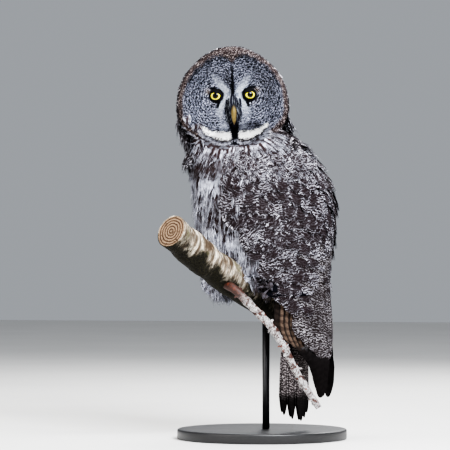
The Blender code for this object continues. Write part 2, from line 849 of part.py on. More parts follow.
def make_leg(name, side, look):
    low = on_perch(side * FOOT_APART, 0.0, PERCH_RADIUS + 0.010)
    high = Vector((low.x * 1.05, low.y * 0.6 + 0.006, TORSO_ROOF_Z + 0.014))
    centres = [low.lerp(high, share) for share in (0.0, 0.35, 0.7, 1.0)]
    radii = [LEG_RADIUS * share for share in (0.72, 0.84, 1.0, 1.1)]
    return tube(name, centres, radii, 14, look, up=Vector((0, 1, 0)))


def toe_runs(side):
    """Each toe as its place along the branch at root and tip, and the angle it reaches."""
    middle = side * FOOT_APART
    runs = [(middle + k * TOE_SPREAD * 0.45, middle + k * TOE_SPREAD, FRONT_REACH) for k in (-1, 0, 1)]
    runs.append((middle, middle + side * 0.004, -BACK_REACH))
    return runs


def toe_point(root, tip, reach, share, radius):
    return on_perch(mix(root, tip, smooth(share * 1.4)), reach * share, PERCH_RADIUS + radius * 0.72)


def make_foot(name, side, leg, perch, claws, look):
    pad = bmesh.new()
    bmesh.ops.create_uvsphere(pad, u_segments=8, v_segments=4, radius=1.0)
    run, front, up = perch_axes()
    centre = on_perch(side * FOOT_APART, 0.0, PERCH_RADIUS + 0.006)
    halves = PAD_HALVES
    axes = Matrix((run * halves[0], front * halves[1], up * halves[2])).transposed().to_4x4()
    bmesh.ops.transform(pad, matrix=Matrix.Translation(centre) @ axes, verts=pad.verts)
    mesh = bpy.data.meshes.new(name)
    pad.to_mesh(mesh)
    pad.free()
    mesh.materials.append(look)
    foot = bpy.data.objects.new(name, mesh)
    bpy.context.collection.objects.link(foot)
    toes = []
    for k, (root, tip, reach) in enumerate(toe_runs(side)):
        shares = (0.0, 0.33, 0.67, 1.0)
        radii = [mix(TOE_RADIUS, TOE_TIP_RADIUS, share) for share in shares]
        centres = [toe_point(root, tip, reach, share, radius) for share, radius in zip(shares, radii)]
        toes.append(tube(f"{name}_toe_{k}", centres, radii, 7, look, up=run))
    join_all(foot, toes)
    cut_away(foot, [grown(item) for item in (perch, leg, *claws)])
    return foot


def make_claws(side_name, side, look):
    claws = []
    for k, (root, tip, reach) in enumerate(toe_runs(side)):
        sign = 1.0 if reach > 0 else -1.0
        centres, radii = [], []
        steps = 5
        for i in range(steps):
            share = i / (steps - 1)
            angle = reach + sign * (CLAW_SWEEP * share - CLAW_SET)
            height = PERCH_RADIUS + mix(TOE_TIP_RADIUS * 0.95, 0.0012, share**1.3)
            centres.append(on_perch(tip, angle, height))
            radii.append(mix(CLAW_RADIUS, 0.0004, share**1.2))
        claws.append(tube(f"claw_{side_name}_{k + 1}", centres, radii, 7, look, up=perch_axes()[0]))
    return claws


def turned(name, profile, sides, look, place=(0.0, 0.0)):
    """A solid of revolution about a vertical axis, from radius and height pairs."""
    rings = []
    for radius, z in profile:
        rings.append(circle(Vector((*place, z)), Vector((1, 0, 0)), Vector((0, 1, 0)), radius, sides))
    return solid(name, *loft(rings), look)


def make_stand(perch, look):
    edge = BASE_EDGE
    profile = ((BASE_RADIUS - edge * 0.4, 0.0), (BASE_RADIUS, edge * 0.4),
               (BASE_RADIUS, BASE_HEIGHT - edge), (BASE_RADIUS - edge, BASE_HEIGHT))
    turned("stand_base", profile, 40, look)
    place = (PERCH_MIDDLE.x, PERCH_MIDDLE.y)
    profile = ((ROD_RADIUS, BASE_HEIGHT + GAP), (ROD_RADIUS, PERCH_MIDDLE.z))
    rod = turned("stand_rod", profile, 24, look, place)
    cut_away(rod, [grown(perch)])


def main():
    clear_scene()
    plumage = finish("plumage", (0.23, 0.20, 0.18), 0.9)
    face = finish("face", (0.38, 0.36, 0.34), 0.9)
    horn = finish("bill", (0.62, 0.47, 0.14), 0.4)
    claw = finish("claw", (0.03, 0.028, 0.03), 0.35)
    iris = finish("eye", (0.75, 0.62, 0.08), 0.05)
    lid = finish("lid", (0.04, 0.035, 0.035), 0.6)
    bark = finish("bark", (0.42, 0.35, 0.28), 0.85)
    stand = finish("stand", (0.05, 0.05, 0.055), 0.45)

    perch = make_perch(bark)
    make_twig(perch, bark)
    torso = make_torso(plumage)
    neck = make_neck(plumage)
    head = make_head(face)
    upper = make_bill("bill_upper", BILL_UPPER, horn)
    lower = make_bill("bill_lower", BILL_LOWER, horn)
    cut_away(lower, [grown(upper)])
    cut_away(head, [grown(upper), grown(lower)])
    cut_away(upper, make_nostrils(horn))
    sockets = []
    for side_name, side in (("left", 1), ("right", -1)):
        make_eye(f"eye_{side_name}", side, iris)
        make_lid(f"lid_{side_name}", side, lid)
        sockets.append(make_eye(f"socket_{side_name}", side, lid, EYE_RADIUS + LID_THICK + GAP * 2.2))
    cut_away(head, sockets)
    cut_away(neck, [grown(head)])

    rooms = [grown(perch)]
    for side_name, side in (("left", 1), ("right", -1)):
        leg = make_leg(f"leg_{side_name}", side, plumage)
        claws = make_claws(side_name, side, claw)
        foot = make_foot(f"foot_{side_name}", side, leg, perch, claws, plumage)
        make_wing(f"wing_{side_name}", side, plumage)
        rooms += [grown(leg), grown(foot)]
        rooms.append(make_wing_room(side, plumage))
        cut_away(neck, [make_wing_room(side, plumage)])
    rooms.append(grown(make_tail_core("tail_root", plumage)))
    bpy.data.objects.remove(bpy.data.objects["tail_root"], do_unlink=True)
    cut_away(torso, rooms)
    make_tail(plumage)
    make_stand(perch, stand)


main()
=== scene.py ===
# Great grey owl on its perch: skin, feathers, eyes, bill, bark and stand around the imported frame.
import math
import random
from types import SimpleNamespace

import bpy
import numpy as np
from mathutils import Matrix, Vector, noise
from mathutils.bvhtree import BVHTree


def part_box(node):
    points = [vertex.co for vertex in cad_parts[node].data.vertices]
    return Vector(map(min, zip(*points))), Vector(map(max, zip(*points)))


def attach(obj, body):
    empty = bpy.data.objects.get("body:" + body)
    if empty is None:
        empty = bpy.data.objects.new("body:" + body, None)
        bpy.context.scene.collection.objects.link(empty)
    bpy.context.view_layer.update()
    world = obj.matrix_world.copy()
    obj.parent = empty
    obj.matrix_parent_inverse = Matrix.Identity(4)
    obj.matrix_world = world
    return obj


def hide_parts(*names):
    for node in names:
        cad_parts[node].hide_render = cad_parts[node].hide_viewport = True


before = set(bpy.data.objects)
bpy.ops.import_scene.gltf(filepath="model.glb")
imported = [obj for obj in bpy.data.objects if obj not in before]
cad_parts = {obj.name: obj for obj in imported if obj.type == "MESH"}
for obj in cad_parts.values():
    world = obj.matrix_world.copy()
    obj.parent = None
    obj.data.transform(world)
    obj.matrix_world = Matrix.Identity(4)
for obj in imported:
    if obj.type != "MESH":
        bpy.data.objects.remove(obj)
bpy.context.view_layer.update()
print("frame loaded")

# the owl's forms, with the sizes that its solids have
body = {
    # height, reach forward, reach back, half width, middle's distance back
    "sections": (
        (0.525, 0.07, 0.014, 0.04, -0.014), (0.508, 0.108, 0.044, 0.066, -0.006),
        (0.492, 0.124, 0.062, 0.086, 0.0), (0.476, 0.13, 0.076, 0.096, 0.0),
        (0.434, 0.124, 0.105, 0.103, 0.0), (0.393, 0.119, 0.119, 0.107, 0.0),
        (0.36, 0.117, 0.121, 0.105, 0.0), (0.335, 0.114, 0.119, 0.102, 0.0),
        (0.3, 0.111, 0.115, 0.096, 0.0), (0.268, 0.108, 0.112, 0.09, 0.001),
        (0.24, 0.098, 0.106, 0.083, 0.008), (0.2, 0.06, 0.076, 0.07, 0.042),
        (0.16, 0.05, 0.062, 0.058, 0.058), (0.12, 0.045, 0.053, 0.047, 0.069),
        (0.06, 0.04, 0.04, 0.036, 0.08)),
    "hipTwist": math.radians(-20), "twistTop": 0.42, "twistEnd": 0.28,
    "rim": 0.266, "rimFront": 0.026, "rimBack": 0.012,  # the lower edge, and its drops
    # share of the lower edge's width, climb above it, share of the rest of the way to the roof
    "underside": ((0.93, -0.005, 0), (0.85, 0.0, 0), (0.76, 0.014, 0), (0.66, 0.014, 0.6),
                  (0.45, 0.014, 1)),
    "middle": (0.004, 0.004), "roof": 0.302,  # underside above the feet
    "sides": 96, "rows": 80,
}
wing = {
    "front": (  # height, distance back of the wing's front edge
        (0.48, -0.019), (0.454, -0.022), (0.428, -0.031), (0.398, -0.038), (0.368, -0.03),
        (0.35, 0.0), (0.332, 0.018), (0.31, 0.037), (0.287, 0.048), (0.258, 0.047),
        (0.22, 0.046), (0.195, 0.049), (0.17, 0.064), (0.13, 0.084), (0.07, 0.104)),
    "mantleHalf": ((0.48, 0.04), (0.4, 0.034), (0.33, 0.02), (0.25, 0.012), (0.06, 0.01)),
    "top": 0.47, "coreEnd": 0.235,
    "proud": 0.0035,  # how far the folded wing stands out of the side
    "thick": 0.01, "edge": 0.1,
}
head = {
    "centre": (0.005, -0.049, 0.56), "turn": math.radians(101.4), "roll": math.radians(2.2),
    # angle from the top, distance to the outline
    "outline": ((0, 0.087), (40, 0.085), (63, 0.088), (90, 0.092), (115, 0.097),
                (140, 0.089), (180, 0.08)),
    # share of the outline, distance forward
    "profile": ((0.895, 0.049), (0.955, 0.04), (0.995, 0.023), (1.0, 0.005),
                (0.975, -0.018), (0.9, -0.042), (0.76, -0.062), (0.54, -0.077),
                (0.27, -0.085)),
    "discShare": 0.859, "discDepth": 0.046, "rim": 0.005,
    "ridge": 0.013, "ridgeHalf": 0.0105, "dish": 0.011, "dishHalf": 0.03,
    "chin": 0.006, "chinUp": -0.056,
    "sides": 120, "discRows": 34, "rows": 40,
}
eye = {
    "radius": 0.0125, "apart": 0.0542, "up": 0.0046, "forward": 0.03, "outward": math.radians(7),
    "pupil": 0.0043, "iris": 0.0081, "bulge": 0.001,
}
tail = {
    # height, half width, half depth, distance back
    "core": ((0.268, 0.034, 0.016, 0.08), (0.24, 0.045, 0.021, 0.077),
             (0.205, 0.047, 0.016, 0.0735), (0.17, 0.042, 0.01, 0.071),
             (0.135, 0.03, 0.005, 0.07)),
    "pairs": 6, "middle": 0.07, "root": 0.225, "tip": 0.031, "half": 0.054, "featherHalf": 0.014,
    "stack": 0.007, "pairStep": 0.0026, "sideStep": 0.0013, "steps": 12,
    "tips": (0.03, 0.08, 0.5, 0.56, 0.94, 1.0),  # each pair's share of the way out, in groups
}
perch = {
    "middle": (0.0, 0.0067, 0.225), "heading": math.radians(-30), "rise": math.radians(23),
    "radius": 0.0272, "start": -0.14, "end": 0.265, "sides": 120, "rows": 330,
    "rings": (0.97, 0.94, 0.7, 0.4, 0.1),  # shares of the radius on each sawn end
    "bow": (0.35, 0.25), "swells": ((0.035, 70), (0.02, 151)), "plain": 0.07,  # plain where the feet grip it
    "knotAt": 0.178, "knotTurn": 3.6, "knotHigh": 0.22, "rough": 0.0008, "ridges": 0.00045,
}
fullTurn = 2 * math.pi
down = np.array([0, 0, -1.0])
sides = (("left", 1), ("right", -1))


def smooth(share):
    share = np.clip(share, 0.0, 1.0)
    return share * share * (3 - 2 * share)


def above(value, edge, soft):  # 0 up to the edge, 1 beyond its soft width
    return smooth((value - edge) / soft)


def below(value, edge, soft):
    return smooth((edge - value) / soft)


def within(value, half, soft, centre=0.0):  # 1 inside the half width, 0 beyond its soft edge
    return 1 - smooth((np.abs(value - centre) - half) / soft)


def ramp(value, start, end):  # 0 at the start and 1 at the end, in a straight line
    return np.clip((value - start) / (end - start), 0, 1)


def between(value, low, high):
    return (value > low) & (value < high)


def bell(value, wide):
    return np.exp(-((value / wide) ** 2))


def mix(low, high, share):
    return low + (high - low) * share


def over(low, high, share):  # one colour over another
    return low + (high - low) * share[..., None]


def around(count):
    return np.linspace(0, fullTurn, count, endpoint=False)


def vector(*parts):  # rows of points from arrays that fit together
    return np.stack(np.broadcast_arrays(*[np.asarray(part, float) for part in parts]), axis=-1)


def unit(rows):
    return rows / np.maximum(np.linalg.norm(rows, axis=-1, keepdims=True), 1e-9)


def curve(rows, column=1, count=600):  # a smooth curve through the rows of a table
    rows = sorted((row[0], row[column]) for row in rows)
    keys, values = np.array(rows, float).T
    order = np.arange(len(keys))
    before = np.maximum(order - 1, 0)
    after = np.minimum(order + 1, len(keys) - 1)
    slopes = (values[after] - values[before]) / (keys[after] - keys[before])
    at = np.linspace(keys[0], keys[-1], count)
    i = np.clip(np.searchsorted(keys, at, side="right") - 1, 0, len(keys) - 2)
    span = keys[i + 1] - keys[i]
    t = (at - keys[i]) / span
    height = (values[i] * (2 * t**3 - 3 * t**2 + 1) + slopes[i] * span * (t**3 - 2 * t**2 + t)
              + values[i + 1] * (3 * t**2 - 2 * t**3) + slopes[i + 1] * span * (t**3 - t**2))
    return lambda key: np.interp(key, at, height)


def columnsAlong(rows, count):  # a table's columns, smoothed in even steps of its order
    keyed = [(k, *row) for k, row in enumerate(rows)]
    at = np.linspace(0, len(rows) - 1, count)
    return [curve(keyed, k + 1)(at) for k in range(len(rows[0]))]


bodyForward, bodyBack, bodyWide, bodyMiddle = (curve(body["sections"], k) for k in (1, 2, 3, 4))
wingFront = curve(wing["front"])
mantleHalf = curve(wing["mantleHalf"])
headOutline = curve(head["outline"])


def twist(z):
    return body["hipTwist"] * below(z, body["twistTop"], body["twistTop"] - body["twistEnd"])


def bodyPlace(left, back, z):
    turn = twist(z)
    return vector(left * np.cos(turn) - back * np.sin(turn),
                  left * np.sin(turn) + back * np.cos(turn), z)


def bodySurface(angle, z, lift=0.0):  # the angle runs from the breast over the left side
    deep = np.where(np.cos(angle) > 0, bodyForward(z), bodyBack(z))
    wide = bodyWide(z)
    outX = np.sin(angle) / wide
    outY = -np.cos(angle) / deep
    size = np.hypot(outX, outY)
    return bodyPlace(wide * np.sin(angle) + outX / size * lift,
                     bodyMiddle(z) - deep * np.cos(angle) + outY / size * lift, z)


def bodyCoordinates(points):  # angle round the body, and how far back
    z = points[..., 2]
    turn = -twist(z)
    left = points[..., 0] * np.cos(turn) - points[..., 1] * np.sin(turn)
    back = points[..., 0] * np.sin(turn) + points[..., 1] * np.cos(turn)
    deep = np.where(back < bodyMiddle(z), bodyForward(z), bodyBack(z))
    return np.arctan2(left / bodyWide(z), (bodyMiddle(z) - back) / deep), back


def wingEdges(z):  # the angles of the wing's front edge and of the mantle's edge
    reach = wingFront(z) - bodyMiddle(z)
    deep = np.where(reach > 0, bodyBack(z), bodyForward(z))
    return np.arccos(np.clip(-reach / deep, -1, 1)), math.pi - np.arcsin(mantleHalf(z) / bodyWide(z))


def wingShare(points):  # 0 at the wing's front edge, 1 beside the mantle
    first, last = wingEdges(points[..., 2])
    return (np.abs(bodyCoordinates(points)[0]) - first) / (last - first)


headForward = np.array([math.sin(head["turn"]), -math.cos(head["turn"]), 0.0])
headLeft = np.array([math.cos(head["turn"]) * math.cos(head["roll"]),
                     math.sin(head["turn"]) * math.cos(head["roll"]), math.sin(head["roll"])])
headUp = np.cross(headForward, headLeft)


def headPlace(left, forward, up):
    left, forward, up = np.broadcast_arrays(left, forward, up)
    return (np.array(head["centre"]) + left[..., None] * headLeft + forward[..., None] * headForward
            + up[..., None] * headUp)


def headCoordinates(points):
    away = points - np.array(head["centre"])
    return away @ headLeft, away @ headForward, away @ headUp


def outlineShare(left, up):  # share of the way from the middle of the face to its outline
    return np.hypot(left, up) / headOutline(np.degrees(np.arctan2(np.abs(left), up)))


def eyeReach(left, up):  # distance from the nearer eye's middle, across the face
    return np.hypot(np.abs(left) - eye["apart"] / 2, up - eye["up"])


def discDepth(left, up):
    dish = head["dish"] * bell(eyeReach(left, up), head["dishHalf"])
    fade = below(up, 0.066, 0.03) * above(up, -0.034, 0.03)
    ridge = head["ridge"] * bell(left, head["ridgeHalf"]) * fade
    chin = head["chin"] * bell(up - head["chinUp"], 0.014) * bell(left, 0.04)
    return head["discDepth"] - dish + ridge + chin


perchRun = np.array([math.cos(perch["heading"]) * math.cos(perch["rise"]),
                     math.sin(perch["heading"]) * math.cos(perch["rise"]), math.sin(perch["rise"])])
perchFront = np.array([math.sin(perch["heading"]), -math.cos(perch["heading"]), 0.0])
perchUp = np.cross(perchFront, perchRun)


def perchReach(points):  # distance from the branch's axis
    away = points - np.array(perch["middle"])
    return np.linalg.norm(away - (away @ perchRun)[:, None] * perchRun, axis=1)


def onPerch(run, angle, height):
    run, angle, height = np.broadcast_arrays(*[np.asarray(part, float) for part in (run, angle, height)])
    high, low = perch["bow"]
    bow = high * np.maximum(run - 0.06, 0) ** 2 + low * np.maximum(-run - 0.06, 0) ** 2
    centre = np.array(perch["middle"]) + run[..., None] * perchRun + bow[..., None] * perchUp
    return centre + (np.cos(angle)[..., None] * perchUp
                     + np.sin(angle)[..., None] * perchFront) * height[..., None]


class Wire:  # a node's output; sums made with it add Math nodes
    def __init__(self, kit, socket):
        self.kit = kit
        self.socket = socket

    def sum(self, operation, first, second=0.0):
        return self.kit.add("Math", {"operation": operation}, {0: first, 1: second})

    def __add__(self, other):
        return self.sum("ADD", self, other)

    def __radd__(self, other):
        return self.sum("ADD", other, self)

    def __sub__(self, other):
        return self.sum("SUBTRACT", self, other)

    def __rsub__(self, other):
        return self.sum("SUBTRACT", other, self)

    def __mul__(self, other):
        return self.sum("MULTIPLY", self, other)

    def __rmul__(self, other):
        return self.sum("MULTIPLY", other, self)

    def __truediv__(self, other):
        return self.sum("DIVIDE", self, other)

    def __abs__(self):
        return self.sum("ABSOLUTE", self)


class Kit:  # one material and what makes its nodes
    def __init__(self, name):
        self.look = bpy.data.materials.new(name)
        self.look.use_nodes = True
        self.tree = self.look.node_tree
        self.shader = self.tree.nodes["Principled BSDF"]

    def put(self, socket, value):
        if isinstance(value, Wire):
            self.tree.links.new(value.socket, socket)
        elif hasattr(value, "__len__") and len(value) == 3 and socket.type == "RGBA":
            socket.default_value = (*value, 1.0)
        else:
            socket.default_value = value

    def add(self, kind, settings=None, sockets=None, out=0):
        node = self.tree.nodes.new("ShaderNode" + kind)
        for key, value in (settings or {}).items():
            setattr(node, key, value)
        for key, value in (sockets or {}).items():
            self.put(node.inputs[key], value)
        return Wire(self, node.outputs[out])

    def read(self, name, out="Vector"):
        return self.add("Attribute", {"attribute_name": name}, out=out)

    def split(self, name):  # the three values of an attribute
        wire = self.read(name)
        return [self.add("SeparateXYZ", None, {0: wire}, k) for k in range(3)]

    def join(self, *values):
        return self.add("CombineXYZ", None, dict(enumerate(values)))

    def blend(self, low, high, share):
        return self.add("Mix", {"data_type": "RGBA"}, {0: share, 6: low, 7: high}, 2)

    def step(self, value, low, high):
        ends = {0: value, 1: low, 2: high}
        return self.add("MapRange", {"interpolation_type": "SMOOTHSTEP"}, ends)

    def sine(self, value):
        return self.add("Math", {"operation": "SINE"}, {0: value}) * 0.5 + 0.5

    def noise(self, scale, detail=3.0, place=None, stretch=None):
        if place is None:
            place = self.add("TexCoord", out="Object")
        if stretch:
            place = self.add("VectorMath", {"operation": "MULTIPLY"}, {0: place, 1: stretch})
        return self.add("TexNoise", None, {"Vector": place, "Scale": scale, "Detail": detail}, "Fac")

    def bump(self, height, strength, distance):
        return self.add("Bump", None, {"Height": height, "Strength": strength, "Distance": distance})

    def finish(self, **sockets):
        for key, value in sockets.items():
            self.put(self.shader.inputs[key.replace("_", " ")], value)
        return self.look


# bars repeat after "period" centimetres of a feather, and a dark streak lies along its shaft
plumage = {
    "parts": ("period", "wavy", "scatter", "chevron", "tilt", "barLow", "barHigh", "streakWide", "streakSoft",
              "streakEnd", "rippleScale", "fleckScale", "fleckLow", "broken", "uneven", "barbs"),
    "face": (0.43, 2.1, 0.6, 0.1, 0.0, 0.46, 0.68, 0.3, 0.2, 0.9, 250, 400, 0.4, 0.85, 0.3, 14),
    "crown": (0.85, 2.4, 5.0, 0.25, 1.0, 0.6, 0.72, 0.3, 0.2, 0.9, 95, 150, 0.42, 0.95, 0.2, 14),
    "breast": (1.0, 1.8, 3.0, 0.35, 0.8, 0.2, 0.6, 0.42, 0.22, 1.25, 80, 130, 0.36, 0.8, 0.5, 11),
    "mantle": (0.44, 3.0, 5.0, 0.5, 2.2, 0.52, 0.74, 0.64, 0.34, 1.02, 140, 230, 0.36, 0.9, 0.45, 12),
    "flight": (0.42, 2.6, 5.0, 0.4, 1.2, 0.5, 0.76, 0.16, 0.2, 1.2, 160, 240, 0.38, 0.85, 0.35, 10),
    "quill": (1.0, 1.1, 6.0, 0.3, 0.6, 0.34, 0.6, 0.14, 0.1, 1.3, 150, 300, 0.34, 0.5, 0.2, 10),
}


def plumageLook(name):
    kit = Kit("plumage_" + name)
    paint = SimpleNamespace(**dict(zip(plumage["parts"], plumage[name])))
    across, along, chance = kit.split("vane")
    bars, streak, share = kit.split("marks")
    ripple = kit.noise(paint.rippleScale, 2.0) - 0.5
    phase = (along / paint.period + ripple * paint.wavy + chance * paint.scatter
             + abs(across) * paint.chevron + across * (chance - 0.5) * paint.tilt)
    pattern = kit.step(kit.sine(phase * fullTurn), paint.barLow, paint.barHigh)
    centre = kit.step(abs(across) + ripple * 1.3, paint.streakWide - paint.streakSoft,
                      paint.streakWide + paint.streakSoft)
    ended = kit.step(share + ripple * 0.25, paint.streakEnd, paint.streakEnd - 0.18)
    blotch = streak * (1 - centre) * ended
    pale = (1 - bars + bars * pattern) * (1 - blotch)
    fleck = kit.noise(paint.fleckScale)
    broken = kit.step(fleck, paint.fleckLow, paint.fleckLow + 0.16)
    pale = pale * (1 - bars * paint.broken * (1 - broken)) * (1 - bars * paint.uneven * chance)
    barbs = kit.sine((along * paint.barbs - abs(across) * 3.0) * fullTurn)
    return kit.finish(Base_Color=kit.blend(kit.read("shade", "Color"), kit.read("tint", "Color"), pale),
                      Roughness=0.62 + 0.25 * fleck, Normal=kit.bump(barbs, 0.35, 0.0004),
                      Specular_IOR_Level=0.03)


looks = {name: plumageLook(name) for name in plumage if name != "parts"}
print("plumage materials made")


def linked(name, mesh, look):
    mesh.materials.append(look)
    piece = bpy.data.objects.new(name, mesh)
    bpy.context.collection.objects.link(piece)
    return piece


def meshPiece(name, points, faces, look, smoothed=True):
    mesh = bpy.data.meshes.new(name)
    mesh.vertices.add(len(points))
    mesh.vertices.foreach_set("co", np.ascontiguousarray(points, np.float32).ravel())
    mesh.loops.add(faces.size)
    mesh.loops.foreach_set("vertex_index", np.ascontiguousarray(faces, np.int32).ravel())
    mesh.polygons.add(len(faces))
    mesh.polygons.foreach_set("loop_start", np.arange(0, faces.size, faces.shape[1], dtype=np.int32))
    mesh.polygons.foreach_set("use_smooth", np.full(len(faces), smoothed))
    mesh.update(calc_edges=True)
    return linked(name, mesh, look)


def keepPiece(piece, slot, *nodes):
    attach(piece, "root")
    if nodes:
        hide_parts(*nodes)
    return piece


def addValues(piece, name, values, colour=False):
    if colour:
        values = np.concatenate([values, np.ones(values.shape[:-1] + (1,))], axis=-1)
    layer = piece.data.attributes.new(name, "FLOAT_COLOR" if colour else "FLOAT_VECTOR", "POINT")
    layer.data.foreach_set("color" if colour else "vector", np.ascontiguousarray(values, np.float32).ravel())


def gridFaces(rows, columns):  # quads between rings
    i, j = np.meshgrid(np.arange(rows - 1), np.arange(columns), indexing="ij")
    a = i * columns + j
    b = i * columns + (j + 1) % columns
    return np.stack([a, b, b + columns, a + columns], axis=-1).reshape(-1, 4)


def stripFaces(shape):  # quads between pairs of points
    index = np.arange(np.prod(shape)).reshape(shape)
    return np.stack([index[..., :-1, 0], index[..., :-1, 1], index[..., 1:, 1], index[..., 1:, 0]],
                    axis=-1).reshape(-1, 4)


def closedForm(name, rings, look):  # rings of points, with a fan at each end
    rows, columns = rings.shape[:2]
    first = rows * columns
    points = np.vstack([rings.reshape(-1, 3), rings[0].mean(0), rings[-1].mean(0)])
    k = np.arange(columns)
    after = (k + 1) % columns
    low = np.column_stack([after, k, np.full(columns, first)])
    high = np.column_stack([first - columns + k, first - columns + after, np.full(columns, first + 1)])
    mesh = bpy.data.meshes.new(name)
    mesh.from_pydata(points.tolist(), [], gridFaces(rows, columns).tolist() + low.tolist() + high.tolist())
    mesh.update()
    mesh.polygons.foreach_set("use_smooth", np.full(len(mesh.polygons), True))
    return linked(name, mesh, look)


def bodyForm(look):
    angle = around(body["sides"])
    front = np.maximum(np.cos(angle), 0) ** 2
    back = np.maximum(-np.cos(angle), 0) ** 2
    rim = body["rim"] - body["rimFront"] * front - body["rimBack"] * back
    top = body["sections"][0][0]
    rings = [bodySurface(angle, mix(top, rim, i / (body["rows"] - 1))) for i in range(body["rows"])]
    lowest = rings[-1]
    middle = np.array(body["middle"])
    for share, climb, rest in body["underside"]:
        rings.append(np.column_stack([middle + (lowest[:, :2] - middle) * share,
                                      mix(lowest[:, 2] + climb, body["roof"], rest)]))
    return closedForm("bodyForm", np.array(rings), look)


def headForm(look):
    angle = around(head["sides"])
    reach = headOutline(np.degrees(np.abs(np.remainder(angle + math.pi, fullTurn) - math.pi)))
    rings = []
    for share in np.linspace(0.03, 1, head["discRows"]):
        radius = reach * head["discShare"] * share
        left, up = np.sin(angle) * radius, np.cos(angle) * radius
        rings.append(headPlace(left, discDepth(left, up) + head["rim"] * above(share, 0.7, 0.3), up))
    for share, forward in zip(*columnsAlong(head["profile"], head["rows"])):
        rings.append(headPlace(np.sin(angle) * reach * share, forward, np.cos(angle) * reach * share))
    return closedForm("headForm", np.array(rings), look)


def tailForm(look):
    heights = np.linspace(tail["core"][0][0], tail["core"][-1][0], 30)
    half, deep, back = (curve(tail["core"], k)(heights)[:, None] for k in (1, 2, 3))
    angle = around(40)[None, :]
    rings = bodyPlace(np.cos(angle) * half, back + np.sin(angle) * deep, heights[:, None] + 0 * angle)
    return closedForm("tailForm", rings, look)


def wingForm(side, look):
    heights = np.linspace(wing["top"], wing["coreEnd"], 60)[:, None]
    share = np.linspace(0, 1, 40)[None, :]
    angle = side * mix(*wingEdges(heights), share)
    ends = below(heights, wing["top"], 0.03) * above(heights, wing["coreEnd"], 0.08)
    full = smooth(np.minimum(share, 1 - share) / wing["edge"]) * ends
    outer = bodySurface(angle, heights, wing["proud"] * full + 0.0002)
    inner = bodySurface(angle, heights, -wing["thick"] * (0.2 + 0.8 * full))
    return closedForm(f"wingForm{side}", np.concatenate([outer, inner[:, ::-1]], axis=1), look)


skinSettings = {
    "voxel": 0.0026, "smoothing": 5,
    # how far the skin lies under the coat's surface
    "depth": 0.0085, "wingDepth": 0.0055, "headDepth": 0.0055, "faceDepth": 0.003, "eyeDepth": 0.0008,
    "legDepth": 0.003,
}


def coatDepth(points):
    left, forward, up = headCoordinates(points)
    z = points[..., 2]
    onHead = above(up, -0.085, 0.03) * above(forward, -0.09, 0.02)
    face = above(forward, 0.02, 0.015) * onHead
    onWing = smooth(wingShare(points) / 0.1) * above(z, 0.22, 0.03)
    onLegs = below(z, 0.285, 0.03) * below(np.hypot(points[..., 0], points[..., 1]), 0.085, 0.02)
    depth = mix(skinSettings["depth"], skinSettings["wingDepth"], onWing)
    depth = mix(depth, skinSettings["headDepth"], onHead)
    depth = mix(depth, skinSettings["faceDepth"], face)
    depth = mix(depth, skinSettings["eyeDepth"], face * below(eyeReach(left, up), 0.022, 0.008))
    return mix(depth, skinSettings["legDepth"], onLegs)


def readRows(items, field, kind=np.float32):  # three values of each vertex or triangle
    values = np.zeros(len(items) * 3, kind)
    items.foreach_get(field, values)
    return values.reshape(-1, 3).astype(float if kind == np.float32 else int)


def makeSkin(look):
    made = [bodyForm(look), headForm(look), tailForm(look), wingForm(1, look), wingForm(-1, look)]
    packed = [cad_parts[node] for node in ("leg_left", "leg_right", "foot_left", "foot_right")]
    corners, faces = [], []
    for form in made + packed:
        first = len(corners)
        corners += [tuple(vertex.co) for vertex in form.data.vertices]
        faces += [tuple(first + k for k in polygon.vertices) for polygon in form.data.polygons]
    for form in made:
        bpy.data.objects.remove(form, do_unlink=True)
    mesh = bpy.data.meshes.new("skin")
    mesh.from_pydata(corners, [], faces)
    skin = bpy.data.objects.new("skin", mesh)
    bpy.context.collection.objects.link(skin)
    fuse = skin.modifiers.new("fuse", "REMESH")
    fuse.mode = "VOXEL"
    fuse.voxel_size = skinSettings["voxel"]
    fuse.use_smooth_shade = True
    relax = skin.modifiers.new("relax", "SMOOTH")
    relax.factor = 0.5
    relax.iterations = skinSettings["smoothing"]
    bpy.context.view_layer.update()
    shaped = bpy.data.meshes.new_from_object(skin.evaluated_get(bpy.context.evaluated_depsgraph_get()))
    skin.modifiers.clear()
    skin.data = shaped
    shaped.materials.clear()
    shaped.materials.append(look)
    points = readRows(shaped.vertices, "co")
    points -= readRows(shaped.vertices, "normal") * coatDepth(points)[:, None]
    shaped.vertices.foreach_set("co", points.astype(np.float32).ravel())
    shaped.update()
    return skin


class Spots:  # places on the skin, with where they lie on the head, the body and the wing
    def __init__(self, points, normals):
        self.points, self.normals = points, normals
        self.x, self.y, self.z = points.T
        self.facing = normals[:, 2]
        self.radius = np.hypot(self.x, self.y)
        self.left, self.forward, self.up = headCoordinates(points)
        self.side = np.abs(self.left)
        self.outline = outlineShare(self.left, self.up)
        self.angle, self.back = bodyCoordinates(points)
        self.wing = wingShare(points)


